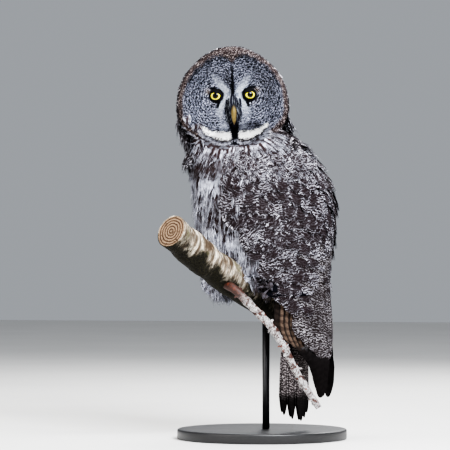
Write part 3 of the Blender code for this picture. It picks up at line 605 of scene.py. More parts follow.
class Ground:  # the skin's surface, which the feathers' roots and spines are read from
    def __init__(self, skin):
        skin.data.calc_loop_triangles()
        self.points = readRows(skin.data.vertices, "co")
        self.normals = readRows(skin.data.vertices, "normal")
        self.faces = readRows(skin.data.loop_triangles, "vertices", np.int32)
        a, b, c = (self.points[self.faces[:, k]] for k in range(3))
        self.areas = np.linalg.norm(np.cross(b - a, c - a), axis=1) / 2
        self.faceNormals = unit(self.normals[self.faces].mean(axis=1))
        self.tree = BVHTree.FromPolygons(self.points.tolist(), self.faces.tolist(), all_triangles=True)

    def scatter(self, spacing, keep, seed):  # one root in each small cell that the skin crosses
        draw = np.random.default_rng(seed)
        count = int(self.areas.sum() / spacing**2 * 7)
        chosen = draw.choice(len(self.faces), count, p=self.areas / self.areas.sum())
        s, t = draw.random(count), draw.random(count)
        beyond = s + t > 1
        s[beyond], t[beyond] = 1 - s[beyond], 1 - t[beyond]
        a, b, c = (self.points[self.faces[chosen, k]] for k in range(3))
        points = a + (b - a) * s[:, None] + (c - a) * t[:, None]
        normals = self.faceNormals[chosen]
        kept = keep(Spots(points, normals))
        points, normals = points[kept], normals[kept]
        cells = np.floor(points / spacing + 0.37).astype(np.int64)
        first = np.sort(np.unique(cells, axis=0, return_index=True)[1])
        return Spots(points[first], normals[first])

    def nearest(self, points):
        found = [self.tree.find_nearest(point) for point in points]
        return (np.array([place for place, _, _, _ in found]),
                self.faceNormals[[face for _, _, face, _ in found]])

    def spines(self, at, ways, lengths, cling, steps=4):
        # each spine walks over the skin from its root; a low cling lets it leave the skin
        spine, upright = [at.points], [at.normals]
        free = 1 - smooth(cling / 0.5)
        toward = np.sum(ways * at.normals, axis=1, keepdims=True)
        way = unit(ways - at.normals * np.where(toward > 0, toward * (1 - free), toward))
        for k in range(steps):
            step = spine[-1] + way * (lengths / steps)[:, None]
            place, normal = self.nearest(step)
            drawn = cling if k else mix(1.0, cling, free)
            there = unit(upright[-1] + (normal - upright[-1]) * drawn)
            way = unit(way - there * np.sum(way * there, axis=1, keepdims=True) * (1 - free))
            spine.append(step + (place - step) * drawn)
            upright.append(unit(there - way * np.sum(way * there, axis=1, keepdims=True) * free))
        return np.stack(spine, axis=1), np.stack(upright, axis=1)


def alongSpine(spine, share):  # points at shares of the way down each spine
    steps = spine.shape[1] - 1
    at = np.clip(share * steps, 0, steps - 1e-6)
    low = at.astype(int)
    part = (at - low)[..., None]
    index = np.arange(len(spine)).reshape((-1,) + (1,) * (share.ndim - 1))
    return spine[index, low] * (1 - part) + spine[index, low + 1] * part


patchSize = 0.003  # each feather's patch on the unwrap


def unwrapBody(points):  # round the body and up it
    angle = bodyCoordinates(points)[0]
    return np.column_stack([0.02 + 0.96 * (angle / fullTurn + 0.5),
                            0.02 + 0.96 * (points[:, 2] - 0.02) / 0.55])


def unwrapHead(points):  # round the line from nape to face, and along it
    left, forward, up = headCoordinates(points)
    turn = np.arctan2(left, up) / fullTurn + 0.5
    return np.column_stack([0.02 + 0.96 * turn, 0.02 + 0.96 * (forward + 0.1) / 0.18])


def unwrapFace(points):
    left, forward, up = headCoordinates(points)
    return np.column_stack([0.5 + left / 0.21, 0.5 + up / 0.21])


def unwrapLegs(points):
    return np.column_stack([0.5 + points[:, 0] / 0.3 + points[:, 2] * 0.4,
                            0.3 + points[:, 1] / 0.3 + points[:, 2] * 0.9])


shapes = {  # how each kind of feather is cut and curved
    "parts": ("strips", "rows", "round", "ragged", "rootWide", "tipWide", "fray", "fine", "wander", "spread",
              "sink", "rise", "bend", "unevenLift", "stir", "camber", "point"),  # the last is 2 if left out
    "face": (3, 4, 0.1, 0.25, 0.7, 0.8, 0.45, 0.25, 0.25, 0.25, -0.001, 0.003, 1.0, 0.0004, 0.0003, 0.1),
    "crown": (4, 4, 0.22, 0.18, 0.6, 0.9, 0.6, 0.25, 0.16, 0.12, -0.0015, 0.0058, 1.1, 0.0006, 0.0004, 0.2),
    "neck": (6, 5, 0.26, 0.22, 0.5, 0.9, 0.4, 0.18, 0.16, 0.15, -0.003, 0.008, 1.2, 0.0012, 0.0009, 0.22),
    "breast": (12, 6, 0.26, 0.26, 0.5, 0.92, 0.35, 0.16, 0.14, 0.16, -0.003, 0.0085, 1.2, 0.0018, 0.0012,
               0.22),
    "ruff": (5, 5, 0.24, 0.2, 0.5, 0.9, 0.5, 0.22, 0.16, 0.12, -0.002, 0.005, 1.1, 0.0012, 0.0008, 0.22),
    "hem": (9, 6, 0.26, 0.35, 0.5, 0.8, 0.25, 0.12, 0.2, 0.16, -0.003, 0.005, 1.1, 0.002, 0.0016, 0.2),
    "under": (10, 5, 0.26, 0.35, 0.5, 0.92, 0.3, 0.14, 0.16, 0.18, -0.003, 0.007, 1.1, 0.0018, 0.0014, 0.2),
    "legs": (3, 4, 0.16, 0.3, 0.6, 0.85, 0.4, 0.2, 0.2, 0.2, -0.0012, 0.0034, 1.0, 0.0005, 0.0005, 0.15),
    "coverts": (14, 8, 0.3, 0.05, 0.55, 0.9, 0.74, 0.4, 0.05, 0.04, 0.0, 0.0, 1.0, 0.001, 0.0005, 0.16),
    "flight": (16, 26, 0.1, 0.0, 0.7, 0.84, 0.97, 0.9, 0.0, 0.0, 0.0, 0.0, 1.0, 0.0, 0.0, 0.1, 2.6),
    "tail": (16, 26, 0.15, 0.0, 0.7, 0.8, 0.97, 0.9, 0.0, 0.0, 0.0, 0.0, 1.0, 0.0, 0.0, 0.1, 2.2),
    "bristles": (2, 5, 0.1, 0.2, 0.8, 0.4, 0.6, 0.3, 0.5, 0.5, -0.0004, 0.0004, 1.0, 0.0003, 0.0003, 0.1),
}


def each(values):  # one value for each feather, beside the points of its strips
    return values.reshape(-1, 1, 1, 1)


def featherPiece(name, spine, upright, lengths, halves, kind, paint, look, seed, unwrap=unwrapBody):
    # strips of barbs side by side on each spine, which fray apart towards the tip
    draw = np.random.default_rng(seed)
    shape = SimpleNamespace(**{"point": 2} | dict(zip(shapes["parts"], shapes[kind])))
    count, strips = len(spine), shape.strips
    middle = (np.arange(strips) + 0.5) / strips * 2 - 1
    edge = np.array([-1.0, 1.0])
    corner = np.abs(middle[:, None] + edge / strips)
    reach = (1 - shape.round * corner[None] ** shape.point
             - shape.ragged * draw.random((count, strips))[..., None])
    share = np.linspace(0, 1, shape.rows)[None, None, :, None] * reach[:, :, None, :]
    full = (mix(shape.rootWide, 1.0, smooth(share / 0.5))
            * mix(1.0, shape.tipWide, above(share, 0.55, 0.45)))
    loose = above(share, shape.fray, 1 - shape.fray)
    narrow = 1 - (1 - shape.fine) * loose
    wander = draw.uniform(-1, 1, (count, strips))[:, :, None, None] * shape.wander * loose
    centre = middle[None, :, None, None] * full * (1 + shape.spread * loose) + wander
    across = centre + edge * (1.08 / strips) * (full * narrow)
    normal = unit(alongSpine(upright, share))
    ahead = (alongSpine(spine, np.minimum(share + 0.1, 1.0))
             - alongSpine(spine, np.maximum(share - 0.1, 0.0)))
    side = unit(np.cross(ahead, normal))
    lift = each(draw.normal(0, shape.unevenLift, count))
    stir = draw.normal(0, shape.stir, (count, strips))[:, :, None, None]
    height = mix(shape.sink, shape.rise, share ** shape.bend) + lift * share + stir * loose
    height = height - shape.camber * (across**2) * each(halves)
    points = alongSpine(spine, share) + normal * height[..., None] + side * (across * each(halves))[..., None]
    faces = stripFaces(share.shape)
    piece = meshPiece(name, points.reshape(-1, 3), faces, look)
    vanes = SimpleNamespace(
        middle=alongSpine(spine, np.full(count, 0.65))[:, None, None, None], points=points, across=across,
        share=share, chance=each(draw.random(count)), along=share * each(lengths) * 100)
    (tint, shade), bars, streak = paint(vanes)
    addValues(piece, "vane", vector(across, vanes.along, vanes.chance))
    addValues(piece, "tint", np.broadcast_to(tint, points.shape), True)
    addValues(piece, "shade", np.broadcast_to(shade, points.shape), True)
    addValues(piece, "marks", vector(np.broadcast_to(bars, share.shape), streak, share))
    spot = unwrap(spine[:, 0])
    patch = np.stack([each(spot[:, 0]) + across * 0.5 * patchSize,
                      each(spot[:, 1]) + (share - 0.5) * patchSize], axis=-1)
    layer = piece.data.uv_layers.new(name="OFBake")
    layer.data.foreach_set("uv", patch.reshape(-1, 2)[faces.ravel()].astype(np.float32).ravel())
    print(name, count, "feathers,", len(faces) * 2, "triangles")
    return piece


hues = {  # a pale and a dark for each part
    "disc": ((0.41, 0.42, 0.52), (0.009, 0.01, 0.014)),
    "crescent": ((0.54, 0.575, 0.63), (0.13, 0.14, 0.18)),
    "black": ((0.004, 0.004, 0.006), (0.004, 0.004, 0.006)),
    "mouth": ((0.92, 0.91, 0.9), (0.62, 0.6, 0.58)),
    "rim": ((0.43, 0.365, 0.355), (0.018, 0.01, 0.01)),
    "tan": ((0.33, 0.25, 0.15), (0.08, 0.05, 0.03)),
    "crown": ((0.58, 0.545, 0.575), (0.01, 0.007, 0.008)),
    "breast": ((0.62, 0.64, 0.74), (0.03, 0.019, 0.019)),
    "mantle": ((0.69, 0.68, 0.755), (0.015, 0.01, 0.011)),
    "flight": ((0.38, 0.36, 0.38), (0.013, 0.009, 0.009)),
    "web": ((0.11, 0.077, 0.058), (0.018, 0.011, 0.009)),
    "tail": ((0.25, 0.22, 0.22), (0.013, 0.009, 0.009)),
}
hues = {name: np.array(pair) for name, pair in hues.items()}
# near black for the tail's dark ends, and for the painted shade on the primaries' tips
darkTipAndShadeHue = np.array((0.006, 0.005, 0.005))
discEdge = curve(  # angle from the top, share of the outline where the disc meets its rim
    ((0, 0.66), (7, 0.77), (15, 0.845), (30, 0.87), (60, 0.885), (90, 0.89), (120, 0.885), (145, 0.86),
     (165, 0.84), (180, 0.84)))
crescent = {  # height on the face, then distance from its middle, half width or strength
    "middle": curve(((-0.06, 0.018), (-0.045, 0.0165), (-0.034, 0.019), (-0.0235, 0.0215),
                     (-0.0135, 0.0185), (0.003, 0.0105), (0.018, 0.0155), (0.034, 0.0265),
                     (0.046, 0.039))),
    "half": curve(((-0.06, 0.006), (-0.045, 0.008), (-0.034, 0.008), (-0.0235, 0.0085),
                   (-0.0135, 0.0095), (0.003, 0.0085), (0.018, 0.0085), (0.034, 0.008),
                   (0.046, 0.003))),
    "strength": curve(((-0.06, 0.35), (-0.047, 0.45), (-0.035, 0.22), (-0.024, 0.5), (-0.012, 0.85),
                       (0.012, 0.92), (0.024, 0.66), (0.036, 0.28), (0.046, 0.05))),
}
mouth = {  # distance from the face's middle, height of the white band's upper and lower edge
    "high": curve(((0.0, -0.055), (0.02, -0.056), (0.035, -0.053), (0.048, -0.047), (0.058, -0.041))),
    "low": curve(((0.0, -0.064), (0.008, -0.069), (0.022, -0.069), (0.035, -0.064),
                  (0.048, -0.055), (0.058, -0.044))),
}


def lay(coat, name, share):  # another part's pale and dark over these
    return [over(under, hue, share) for under, hue in zip(coat, hues[name])]


# what each mark on the face is bounded by: "side" and "up" are distances from its middle, "eye" from the
# nearer eye, "high" and "foot" from the white band's edges, and "ring" is a share of the disc; then come an
# edge or a half width, the softness, and the centre
faceMarks = {
    "outer": (1, (above, "ring", 0.55, 0.4)),
    "crescent": (1, (within, "crescent", 0.35, 0.95), (below, "up", 0.052, 0.014),
                 (above, "up", -0.058, 0.01)),
    "tan": (0.1, (above, "eye", 0.0135, 0.002), (below, "eye", 0.019, 0.004), (below, "up", 0.002, 0.006),
            (above, "side", 0.024, 0.004)),
    "rim": (1, (above, "ring", 0.985, 0.02)),
    "mouth": (1, (below, "high", 0.0, 0.0014), (above, "foot", 0.0, 0.0014), (above, "side", 0.005, 0.002),
              (below, "side", 0.0575, 0.004)),
    "throat": (1, (below, "foot", 0.0, 0.0015), (below, "side", 0.06, 0.004)),
    "throatLine": (1, (within, "foot", 0.0012, 0.003, -0.0022)),
}
blackMarks = {
    "arc": (0.95, (within, "ring", 0.012, 0.018, 0.965), (above, "up", 0.008, 0.024)),
    "underBand": (0.8, (within, "foot", 0.0009, 0.0016, -0.0015), (below, "side", 0.056, 0.004)),
    "lip": (0.6, (within, "high", 0.0005, 0.0012, 0.0012), (below, "side", 0.05, 0.006)),
    "middle": (1, (within, "middle", 0.0, 0.0026), (above, "up", -0.018, 0.01), (below, "up", 0.062, 0.016)),
    "chin": (1, (within, "chin", 0.0, 0.0026), (below, "up", -0.034, 0.008), (above, "up", -0.0725, 0.003)),
    "besideBill": (0.72, (within, "side", 0.003, 0.0046, 0.0062), (below, "up", -0.01, 0.01),
                   (above, "up", -0.044, 0.01)),
    "eyeRim": (1, (within, "eye", 0.0122, 0.0018)),
    "comma": (1, (within, "comma", 0.0018, 0.0016), (below, "up", 0.011, 0.003),
              (above, "up", -0.018, 0.004)),
    "brow": (1, (within, "brow", 0.0012, 0.0014), (above, "side", 0.015, 0.002),
             (below, "side", 0.04, 0.003)),
}


def strengthOf(mark, places):
    strength, *bounds = mark
    for bound, place, *numbers in bounds:
        strength = strength * bound(places[place], *numbers)
    return strength


def facePaint(left, up):
    side = np.abs(left)
    lash = ramp(side, 0.017, 0.0385)
    places = {
        "side": side, "up": up, "eye": eyeReach(left, up),
        "ring": outlineShare(left, up) / discEdge(np.degrees(np.arctan2(side, up))),
        "high": up - mouth["high"](side), "foot": up - mouth["low"](side),
        "crescent": (side - crescent["middle"](up)) / crescent["half"](up),
        # beyond the half width that these two have at each height
        "middle": np.maximum(side - mix(0.0024, 0.001, ramp(up, 0.002, 0.032)), 0),
        "chin": np.maximum(side - mix(0.0076, 0.0036, ramp(up, -0.036, -0.072)), 0),
        "comma": side - mix(0.016, 0.0265, ramp(up, 0.008, -0.016)),
        "brow": up - mix(0.009, 0.017, lash) - 0.0045 * np.sin(lash * math.pi),
    }
    on = {name: strengthOf(mark, places) for name, mark in faceMarks.items()}
    on["crescent"] = on["crescent"] * crescent["strength"](up)
    on["tan"] = np.maximum(0.5 * bell(np.hypot(side - 0.0395, up - 0.012), 0.005), on["tan"])
    coat = [np.broadcast_to(hue, side.shape + (3,)) for hue in hues["disc"]]
    coat[0] = over(coat[0], hues["disc"][0] * 0.8, on["outer"])
    for name in ("crescent", "tan", "rim", "mouth"):
        coat = lay(coat, name, on[name])
    coat[0] = over(coat[0], hues["breast"][0] * 0.7, on["throat"])
    coat[0] = over(coat[0], hues["disc"][1], on["throat"] * on["throatLine"])
    coat[1] = over(coat[1], hues["breast"][1], on["throat"])
    black = [strengthOf(mark, places) for mark in blackMarks.values()]
    coat = lay(coat, "black", np.max(np.broadcast_arrays(*black), axis=0))
    bars = 1.0 - 0.62 * on["crescent"] - 0.85 * on["mouth"] - 0.5 * on["throat"]
    return coat, np.clip(bars, 0, 1), on["rim"] * (1 - on["throat"])


def paintFace(vanes):
    away = headCoordinates(vanes.middle)[0]
    part = mix(1.0, 0.6, above(np.abs(away), 0.011, 0.005))[..., None]
    left, _, up = headCoordinates(vanes.middle + (vanes.points - vanes.middle) * part)
    loose = above(eyeReach(left, up), 0.02, 0.01)
    coat, bars, band = facePaint(left + 0.001 * loose * np.sin(vanes.chance * 91),
                                 up + 0.0022 * loose * np.sin(vanes.chance * 57))
    left, _, up = headCoordinates(vanes.points)
    vanes.along = eyeReach(left, up) * 100 + band * vanes.chance * 2.0
    coat[0] = coat[0] * (1 - 0.8 * band * (vanes.chance * 13 % 1 < 0.56))[..., None]
    return coat, bars, 0.0


def cloud(points, scale):  # soft noise at each point
    values = [noise.noise(Vector(point) * scale) for point in points.reshape(-1, 3)]
    return np.array(values).reshape(points.shape[:-1])


def crownPaint(vanes):
    pale, dark = hues["crown"]
    return (pale * (1 - 0.82 * (vanes.chance * 13 % 1 < 0.62))[..., None], dark), 1.0, 0.25


def breastPaint(vanes):  # painted shade, darker low down under the wing
    z = vanes.middle[..., 2]
    neck = above(z, 0.462, 0.02)
    belly = below(z, 0.33, 0.04)
    pale, dark = hues["breast"]
    pale = over(pale + 0 * z[..., None], hues["crown"][0], 0.3 * neck)
    pale = pale * mix(0.55, 1.2, smooth(cloud(vanes.middle, 28) * 1.1 + 0.5))[..., None]
    pale = over(pale, dark, bell(z - 0.445, 0.012) * 0.6 * 0.75)
    # painted shade: tufts low down behind, under the overhanging wing, turn dark
    deep = below(vanes.points[..., 2], 0.28, 0.02) * above(vanes.points[..., 1], -0.008, 0.012)
    tint = over(pale + 0 * vanes.points, hues["mantle"][1] * 2, 0.88 * deep)
    streak = mix(1.0, 0.85, belly) * (0.15 + 0.85 * (vanes.chance * 7 % 1 > 0.28))
    return (tint, dark), mix(0.3, 0.55, neck) + 0.15 * belly, streak


def neckPaint(vanes):  # dark under the white bands and the chin
    pale, dark = hues["breast"]
    pale = pale * mix(0.5, 1.25, vanes.chance * 3 % 1)[..., None]
    pale = over(pale, dark, 0.75 * bell(vanes.middle[..., 2] - 0.446, 0.011))
    left, _, up = headCoordinates(vanes.points)
    side = np.abs(left)
    shadow = 0.75 * above(up - mouth["low"](side), -0.0075, 0.004) * above(-side, -0.062, 0.006)
    chin = within(left, 0.0042, 0.0035) * above(up, -0.079, 0.006)
    tint = over(over(pale + 0 * vanes.points, dark, shadow), hues["black"][0] * 2, chin)
    return (tint, dark), 0.55, 0.35 + 0.65 * (vanes.chance * 7 % 1 > 0.22)


def napePaint(vanes):
    pale, dark = hues["mantle"]
    return (pale * mix(0.55, 1.15, vanes.chance * 3 % 1)[..., None], dark), 0.9, 0.45 * (vanes.chance > 0.4)


def legPaint(vanes):  # darker behind, in the shade of the wings
    deep = 0.88 * above(vanes.points[..., 1], -0.014, 0.014)
    pale, dark = hues["breast"]
    return (over(pale + 0 * vanes.points, hues["mantle"][1] * 2, deep), dark), 0.45, 0.0


def wingPaint(vanes):  # darker down the wing
    z = vanes.middle[..., 2]
    streak = (0.35 + 0.57 * (vanes.chance * 5 % 1 > 0.3)) * mix(0.5, 1.0, below(z, 0.475, 0.05))
    patch = mix(0.6, 1.1, smooth(cloud(vanes.middle, 22) + 0.5))
    deep = mix(0.72, 1.0, above(z, 0.26, 0.14))
    pale, dark = hues["mantle"]
    return (pale * (mix(0.55, 1.1, vanes.chance * 3 % 1) * patch * deep)[..., None], dark), 0.97, streak


def primaryPaint(vanes, side):  # pale outer webs, black edges, and tips that painted shade turns from dark brown to black
    outer = smooth((vanes.across * side + 0.1) / 0.15)
    pale, dark = (hue + 0 * vanes.points for hue in hues["flight"])
    coat = lay((pale * 0.5, dark), "web", outer)
    # painted shade: the dark brown tips below the secondaries are painted black
    black = np.maximum(below(vanes.points[..., 2], 0.162, 0.014),
                       within(np.abs(vanes.across) - 1, 0.09, 0.3))
    # painted shade darkens the first feather as well
    black = np.maximum(black, 0.85 * (each(np.arange(len(black))) < 1))
    return (over(coat[0], darkTipAndShadeHue * 1.6, black), over(coat[1], darkTipAndShadeHue, black)), 0.55, 0.5


def secondaryPaint(vanes):
    edge = within(np.abs(vanes.across) - 1, 0.04, 0.16)
    patch = cloud(vanes.points[:, 0, :, 0], 60)[:, None, :, None]
    dull = mix(0.7, 1.1, vanes.chance) * mix(0.5, 1.2, smooth(patch + 0.5)) * (1 - 0.6 * edge)
    return (hues["flight"][0] * 0.72 * dull[..., None], hues["flight"][1]), 0.97, 0.6


def tailPaint(vanes):
    black = below(vanes.points[..., 2], 0.082, 0.014)
    pale, dark = (hue + 0 * vanes.points for hue in hues["tail"])
    return (over(pale, darkTipAndShadeHue * 2, black), over(dark, darkTipAndShadeHue, black)), 0.9, 0.2


def bristlePaint(vanes):
    bright = np.where(vanes.chance * 7 % 1 > 0.74, vanes.chance * 3 % 1, 0.0)
    tint = over(hues["black"][0] * 4 + 0 * vanes.points, hues["crescent"][0] * 0.6, bright)
    return (tint, hues["black"][0]), 0.2, 0.0


def faceWay(at):  # feathers lie away from the eyes, and from the bill's root between them
    side = np.where(at.left < 0, -1.0, 1.0)
    fromEye = vector(at.left - side * eye["apart"] / 2, at.up - eye["up"])
    blend = within(at.left, 0.014, 0.01)[:, None]
    flat = unit(unit(fromEye) * (1 - blend) + unit(vector(at.left, at.up + 0.014)) * blend)
    bristle = ((at.side < 0.009) & between(at.up, -0.02, 0.006))[:, None]
    flat = np.where(bristle, unit(vector(at.left * 18, -1.0)), flat)
    return flat[:, :1] * headLeft + flat[:, 1:] * headUp


def headWay(at):  # back over the crown and down the nape
    drop = below(at.forward, 0.03, 0.1) * 1.4 + 0.15
    outward = unit(vector(at.left, at.up))
    front = above(at.forward, 0.03, 0.02)[:, None]
    return (-headForward + down * drop[:, None]
            + (outward[:, :1] * headLeft + outward[:, 1:] * headUp) * front * 1.2)


def ruffWay(at):  # off the back and sides of the head, down to the shoulders
    outward = unit(vector(at.left, at.forward - 0.01))
    out = outward[:, :1] * headLeft + outward[:, 1:] * headForward
    flare = mix(0.04, 0.4, above(at.left, -0.02, 0.06))  # the turned head's left side is fuller
    return down + out * (flare * below(at.z, 0.575, 0.04))[:, None]


def bodyWay(at):
    turn = twist(at.z)
    high = above(at.z, 0.43, 0.05) * np.where(np.abs(at.angle) < 1.7, 1.4, 0.3)
    sideways = vector(np.cos(turn), np.sin(turn), 0) * np.sin(at.angle)[:, None]
    rear = vector(-np.sin(turn), np.cos(turn), 0)
    return down + sideways * (0.55 * high)[:, None] + rear * 0.16 * smooth(at.wing / 0.1)[:, None]


def neckWay(at):  # down from the chin and out to both sides
    fan = np.clip(at.left / 0.035, -1, 1) * above(at.z, 0.44, 0.03) * 0.75
    return bodyWay(at) + headLeft * fan[:, None] + headForward * 0.12


def hemWay(at):
    inward = unit(vector(-at.x, -at.y, 0))
    return down + inward * below(at.z, 0.29, 0.04)[:, None] * 0.48


def legWay(at):  # down the legs and out over the toes
    forward = np.sign((at.points - np.array(perch["middle"])) @ perchFront)[:, None] * perchFront
    low = below(at.z, 0.262, 0.01)[:, None]
    return down * (1.0 - 0.3 * low) + forward * (0.3 + 0.9 * low)


def regionFace(at):
    billRoom = (at.side < 0.0036) & between(at.up, -0.045, -0.015)
    throat = (at.up < np.minimum(mouth["low"](at.side) - 0.0022, -0.04)) & (at.side < 0.06)
    return ((at.outline < 0.925) & (at.forward > 0.012) & (at.normals @ headForward > 0.1)
            & (eyeReach(at.left, at.up) > 0.0098) & ~billRoom & ~throat)


def regionCrown(at):
    lowest = 0.478 + 0.01 * np.clip(-at.forward / 0.09, 0, 1)
    front = (at.forward > 0.0) & (((at.side < 0.066) & (at.up < -0.04)) | (at.outline < 0.9))
    return (at.z > lowest) & ~regionFace(at) & (np.hypot(at.left, at.forward) < 0.11) & ~front


def regionBody(at):
    return ~regionFace(at) & ~regionCrown(at)


def regionRuff(at):
    return regionCrown(at) & (at.forward < 0.026) & (at.z < 0.552)


def regionNeck(at):
    onFace = (at.forward > 0.012) & (at.up > mouth["low"](at.side) + 0.001) & (at.side < 0.062)
    return (regionBody(at) & (at.z > 0.452) & (at.facing > np.where(at.forward > 0, -0.93, -0.6))
            & ((np.abs(at.angle) <= 1.15) | (at.forward > 0)) & ~onFace)


def regionNape(at):
    chin = (at.forward > 0.012) & (at.up > -0.068) & (at.side < 0.05)
    return regionBody(at) & (at.z > 0.446) & (at.facing > -0.6) & (np.abs(at.angle) > 1.15) & ~chin


def regionFront(at):
    return (regionBody(at) & (at.wing < 0.05) & between(at.z, 0.262, 0.458)
            & (at.facing > np.where(at.wing > -0.4, -0.25, -0.75)))


def regionUnder(at):  # the lower edge of the belly, the vent and the rump
    legs = (at.radius < 0.062) & (at.z < 0.262)
    return (regionBody(at) & between(at.z, 0.15, 0.275) & (at.facing > -0.3) & ~legs
            & ((at.back > 0.04) | (at.z > 0.225)) & (at.wing < -0.06))


def regionHem(at):  # tufts that hang from the belly's edge, clear of the branch
    clear = ((perchReach(at.points + down * 0.036) > perch["radius"] + 0.009)
             & (perchReach(at.points) > perch["radius"] + 0.012))
    return regionBody(at) & between(at.z, 0.252, 0.3) & (at.wing < -0.04) & (at.radius > 0.06) & clear


def regionLegs(at):
    return between(at.z, 0.19, 0.268) & (np.hypot(at.x, at.y - 0.004) < 0.085) & (at.facing > -0.8)


coats = {  # spacing, shortest, longest, half width, cling to the skin, stray of their ways
    "face": (0.00165, 0.008, 0.0105, 0.0015, 0.9, 0.1),
    "crown": (0.0037, 0.014, 0.019, 0.0042, 0.85, 0.1),
    "ruff": (0.0052, 0.04, 0.054, 0.0062, 0.12, 0.1),
    "neck": (0.0062, 0.03, 0.04, 0.0066, 0.8, 0.1),
    "breast": (0.0098, 0.052, 0.07, 0.0118, 0.78, 0.1),
    "under": (0.0085, 0.034, 0.046, 0.01, 0.55, 0.1),
    "hem": (0.0072, 0.032, 0.056, 0.0085, 0.12, 0.09),
    "legs": (0.0036, 0.01, 0.014, 0.0024, 0.8, 0.1),
}
skin = makeSkin(looks["breast"])
ground = Ground(skin)
print("skin", len(ground.faces), "triangles")


def paintSkin():  # the coat's markings under it, and painted shade on the skin low down behind
    at = Spots(ground.points, ground.normals)
    onFace, onCrown = regionFace(at), regionCrown(at)
    coat, _, _ = facePaint(at.left, at.up)
    onWing = (at.wing > 0).astype(float)
    disc = (at.forward > 0.012) & (at.outline < 0.92) & (at.up > -0.05)
    throat = (at.forward > 0.012) & between(at.up, -0.086, -0.06) & (at.side < 0.06) & ~onFace
    # painted shade blackens the skin low down behind, under the wings; the face's black middle and chin are
    # its own colour
    shadeAndChin = below(at.z, 0.3, 0.02) * above(at.y, -0.014, 0.012)
    shadeAndChin[(at.forward > 0.02) & (at.side < 0.0085) & between(at.up, -0.078, -0.01)] = 1.0
    for k, name in enumerate(("tint", "shade")):
        hue = over(hues["breast"][k] + 0 * at.points, hues["mantle"][k], onWing)
        hue[onCrown] = hues["crown"][k]
        hue[onFace | disc] = coat[k][onFace | disc]
        if name == "tint":
            hue[throat] = hues["breast"][k] * 0.35
        hue = over(hue, hues["black"][k] * (2 - k), shadeAndChin)
        addValues(skin, name, hue * 0.6 if name == "tint" else hue, True)
    along = np.where(onFace, eyeReach(at.left, at.up), at.z)
    addValues(skin, "vane", vector(0.6, along * 100, 0.5))
    addValues(skin, "marks", vector(0.9 + 0 * along, 0.0, 0.5))


paintSkin()
keepPiece(skin, "plumage", "head", "neck", "torso", "leg_left", "leg_right", "foot_left", "foot_right")


def growCoat(part, region, way, paint, unwrap, look, kind, seed):
    spacing, shortest, longest, half, cling, stray = coats[kind]
    at = ground.scatter(spacing, region, seed)
    draw = np.random.default_rng(seed + 1)
    count = len(at.points)
    ways = way(at) + draw.normal(0, stray, (count, 3))
    lengths = draw.uniform(shortest, longest, count)
    halves = half * draw.uniform(0.85, 1.15, count)
    spine, upright = ground.spines(at, ways, lengths, cling)
    piece = featherPiece("coat_" + part, spine, upright, lengths, halves, kind, paint, looks[look],
                         seed + 2, unwrap)
    keepPiece(piece, "face" if part == "face" else "plumage")


for growth in (
        ("face", regionFace, faceWay, paintFace, unwrapFace, "face", "face", 21),
        ("crown", regionCrown, headWay, crownPaint, unwrapHead, "crown", "crown", 31),
        ("ruff", regionRuff, ruffWay, napePaint, unwrapHead, "crown", "ruff", 34),
        ("neck", regionNeck, neckWay, neckPaint, unwrapBody, "breast", "neck", 36),
        ("nape", regionNape, bodyWay, napePaint, unwrapBody, "mantle", "neck", 38),
        ("breast", regionFront, bodyWay, breastPaint, unwrapBody, "breast", "breast", 41),
        ("under", regionUnder, bodyWay, breastPaint, unwrapBody, "breast", "under", 46),
        ("hem", regionHem, hemWay, breastPaint, unwrapBody, "breast", "hem", 47),
        ("legs", regionLegs, legWay, legPaint, unwrapLegs, "breast", "legs", 48)):
    growCoat(*growth)


def layVanes(name, rows, kind, paint, look, seed, *nodes):
    # a piece of single feathers: each one's spine, what is upright on it, length and half width
    spines, uprights, lengths, halves = (np.array(column) for column in zip(*rows))
    piece = featherPiece(name, spines, uprights, lengths, halves, kind, paint, looks[look], seed)
    return keepPiece(piece, "plumage", *nodes)


coverts = {
    "rows": 14, "top": 0.474, "low": 0.272, "steps": 8,
    # height, length and half width
    "sizes": ((0.474, 0.034, 0.0095), (0.44, 0.044, 0.013), (0.38, 0.056, 0.016),
              (0.272, 0.062, 0.0165)),
    "spacing": 0.98,  # of a row's feathers, in half widths
    "rootLift": -0.0055, "tipLift": 0.007, "drift": 0.05,
    "shortest": 0.56, "shortTo": 0.34,  # on the wing's front, as a share of the length and of the row
    "follow": 0.75,  # how far they turn with the wing's edge
    "strayAlong": 0.13, "strayUp": 0.0045, "strayLift": 0.0009, "tilt": 0.05, "sizeRange": (0.9, 1.1),
}


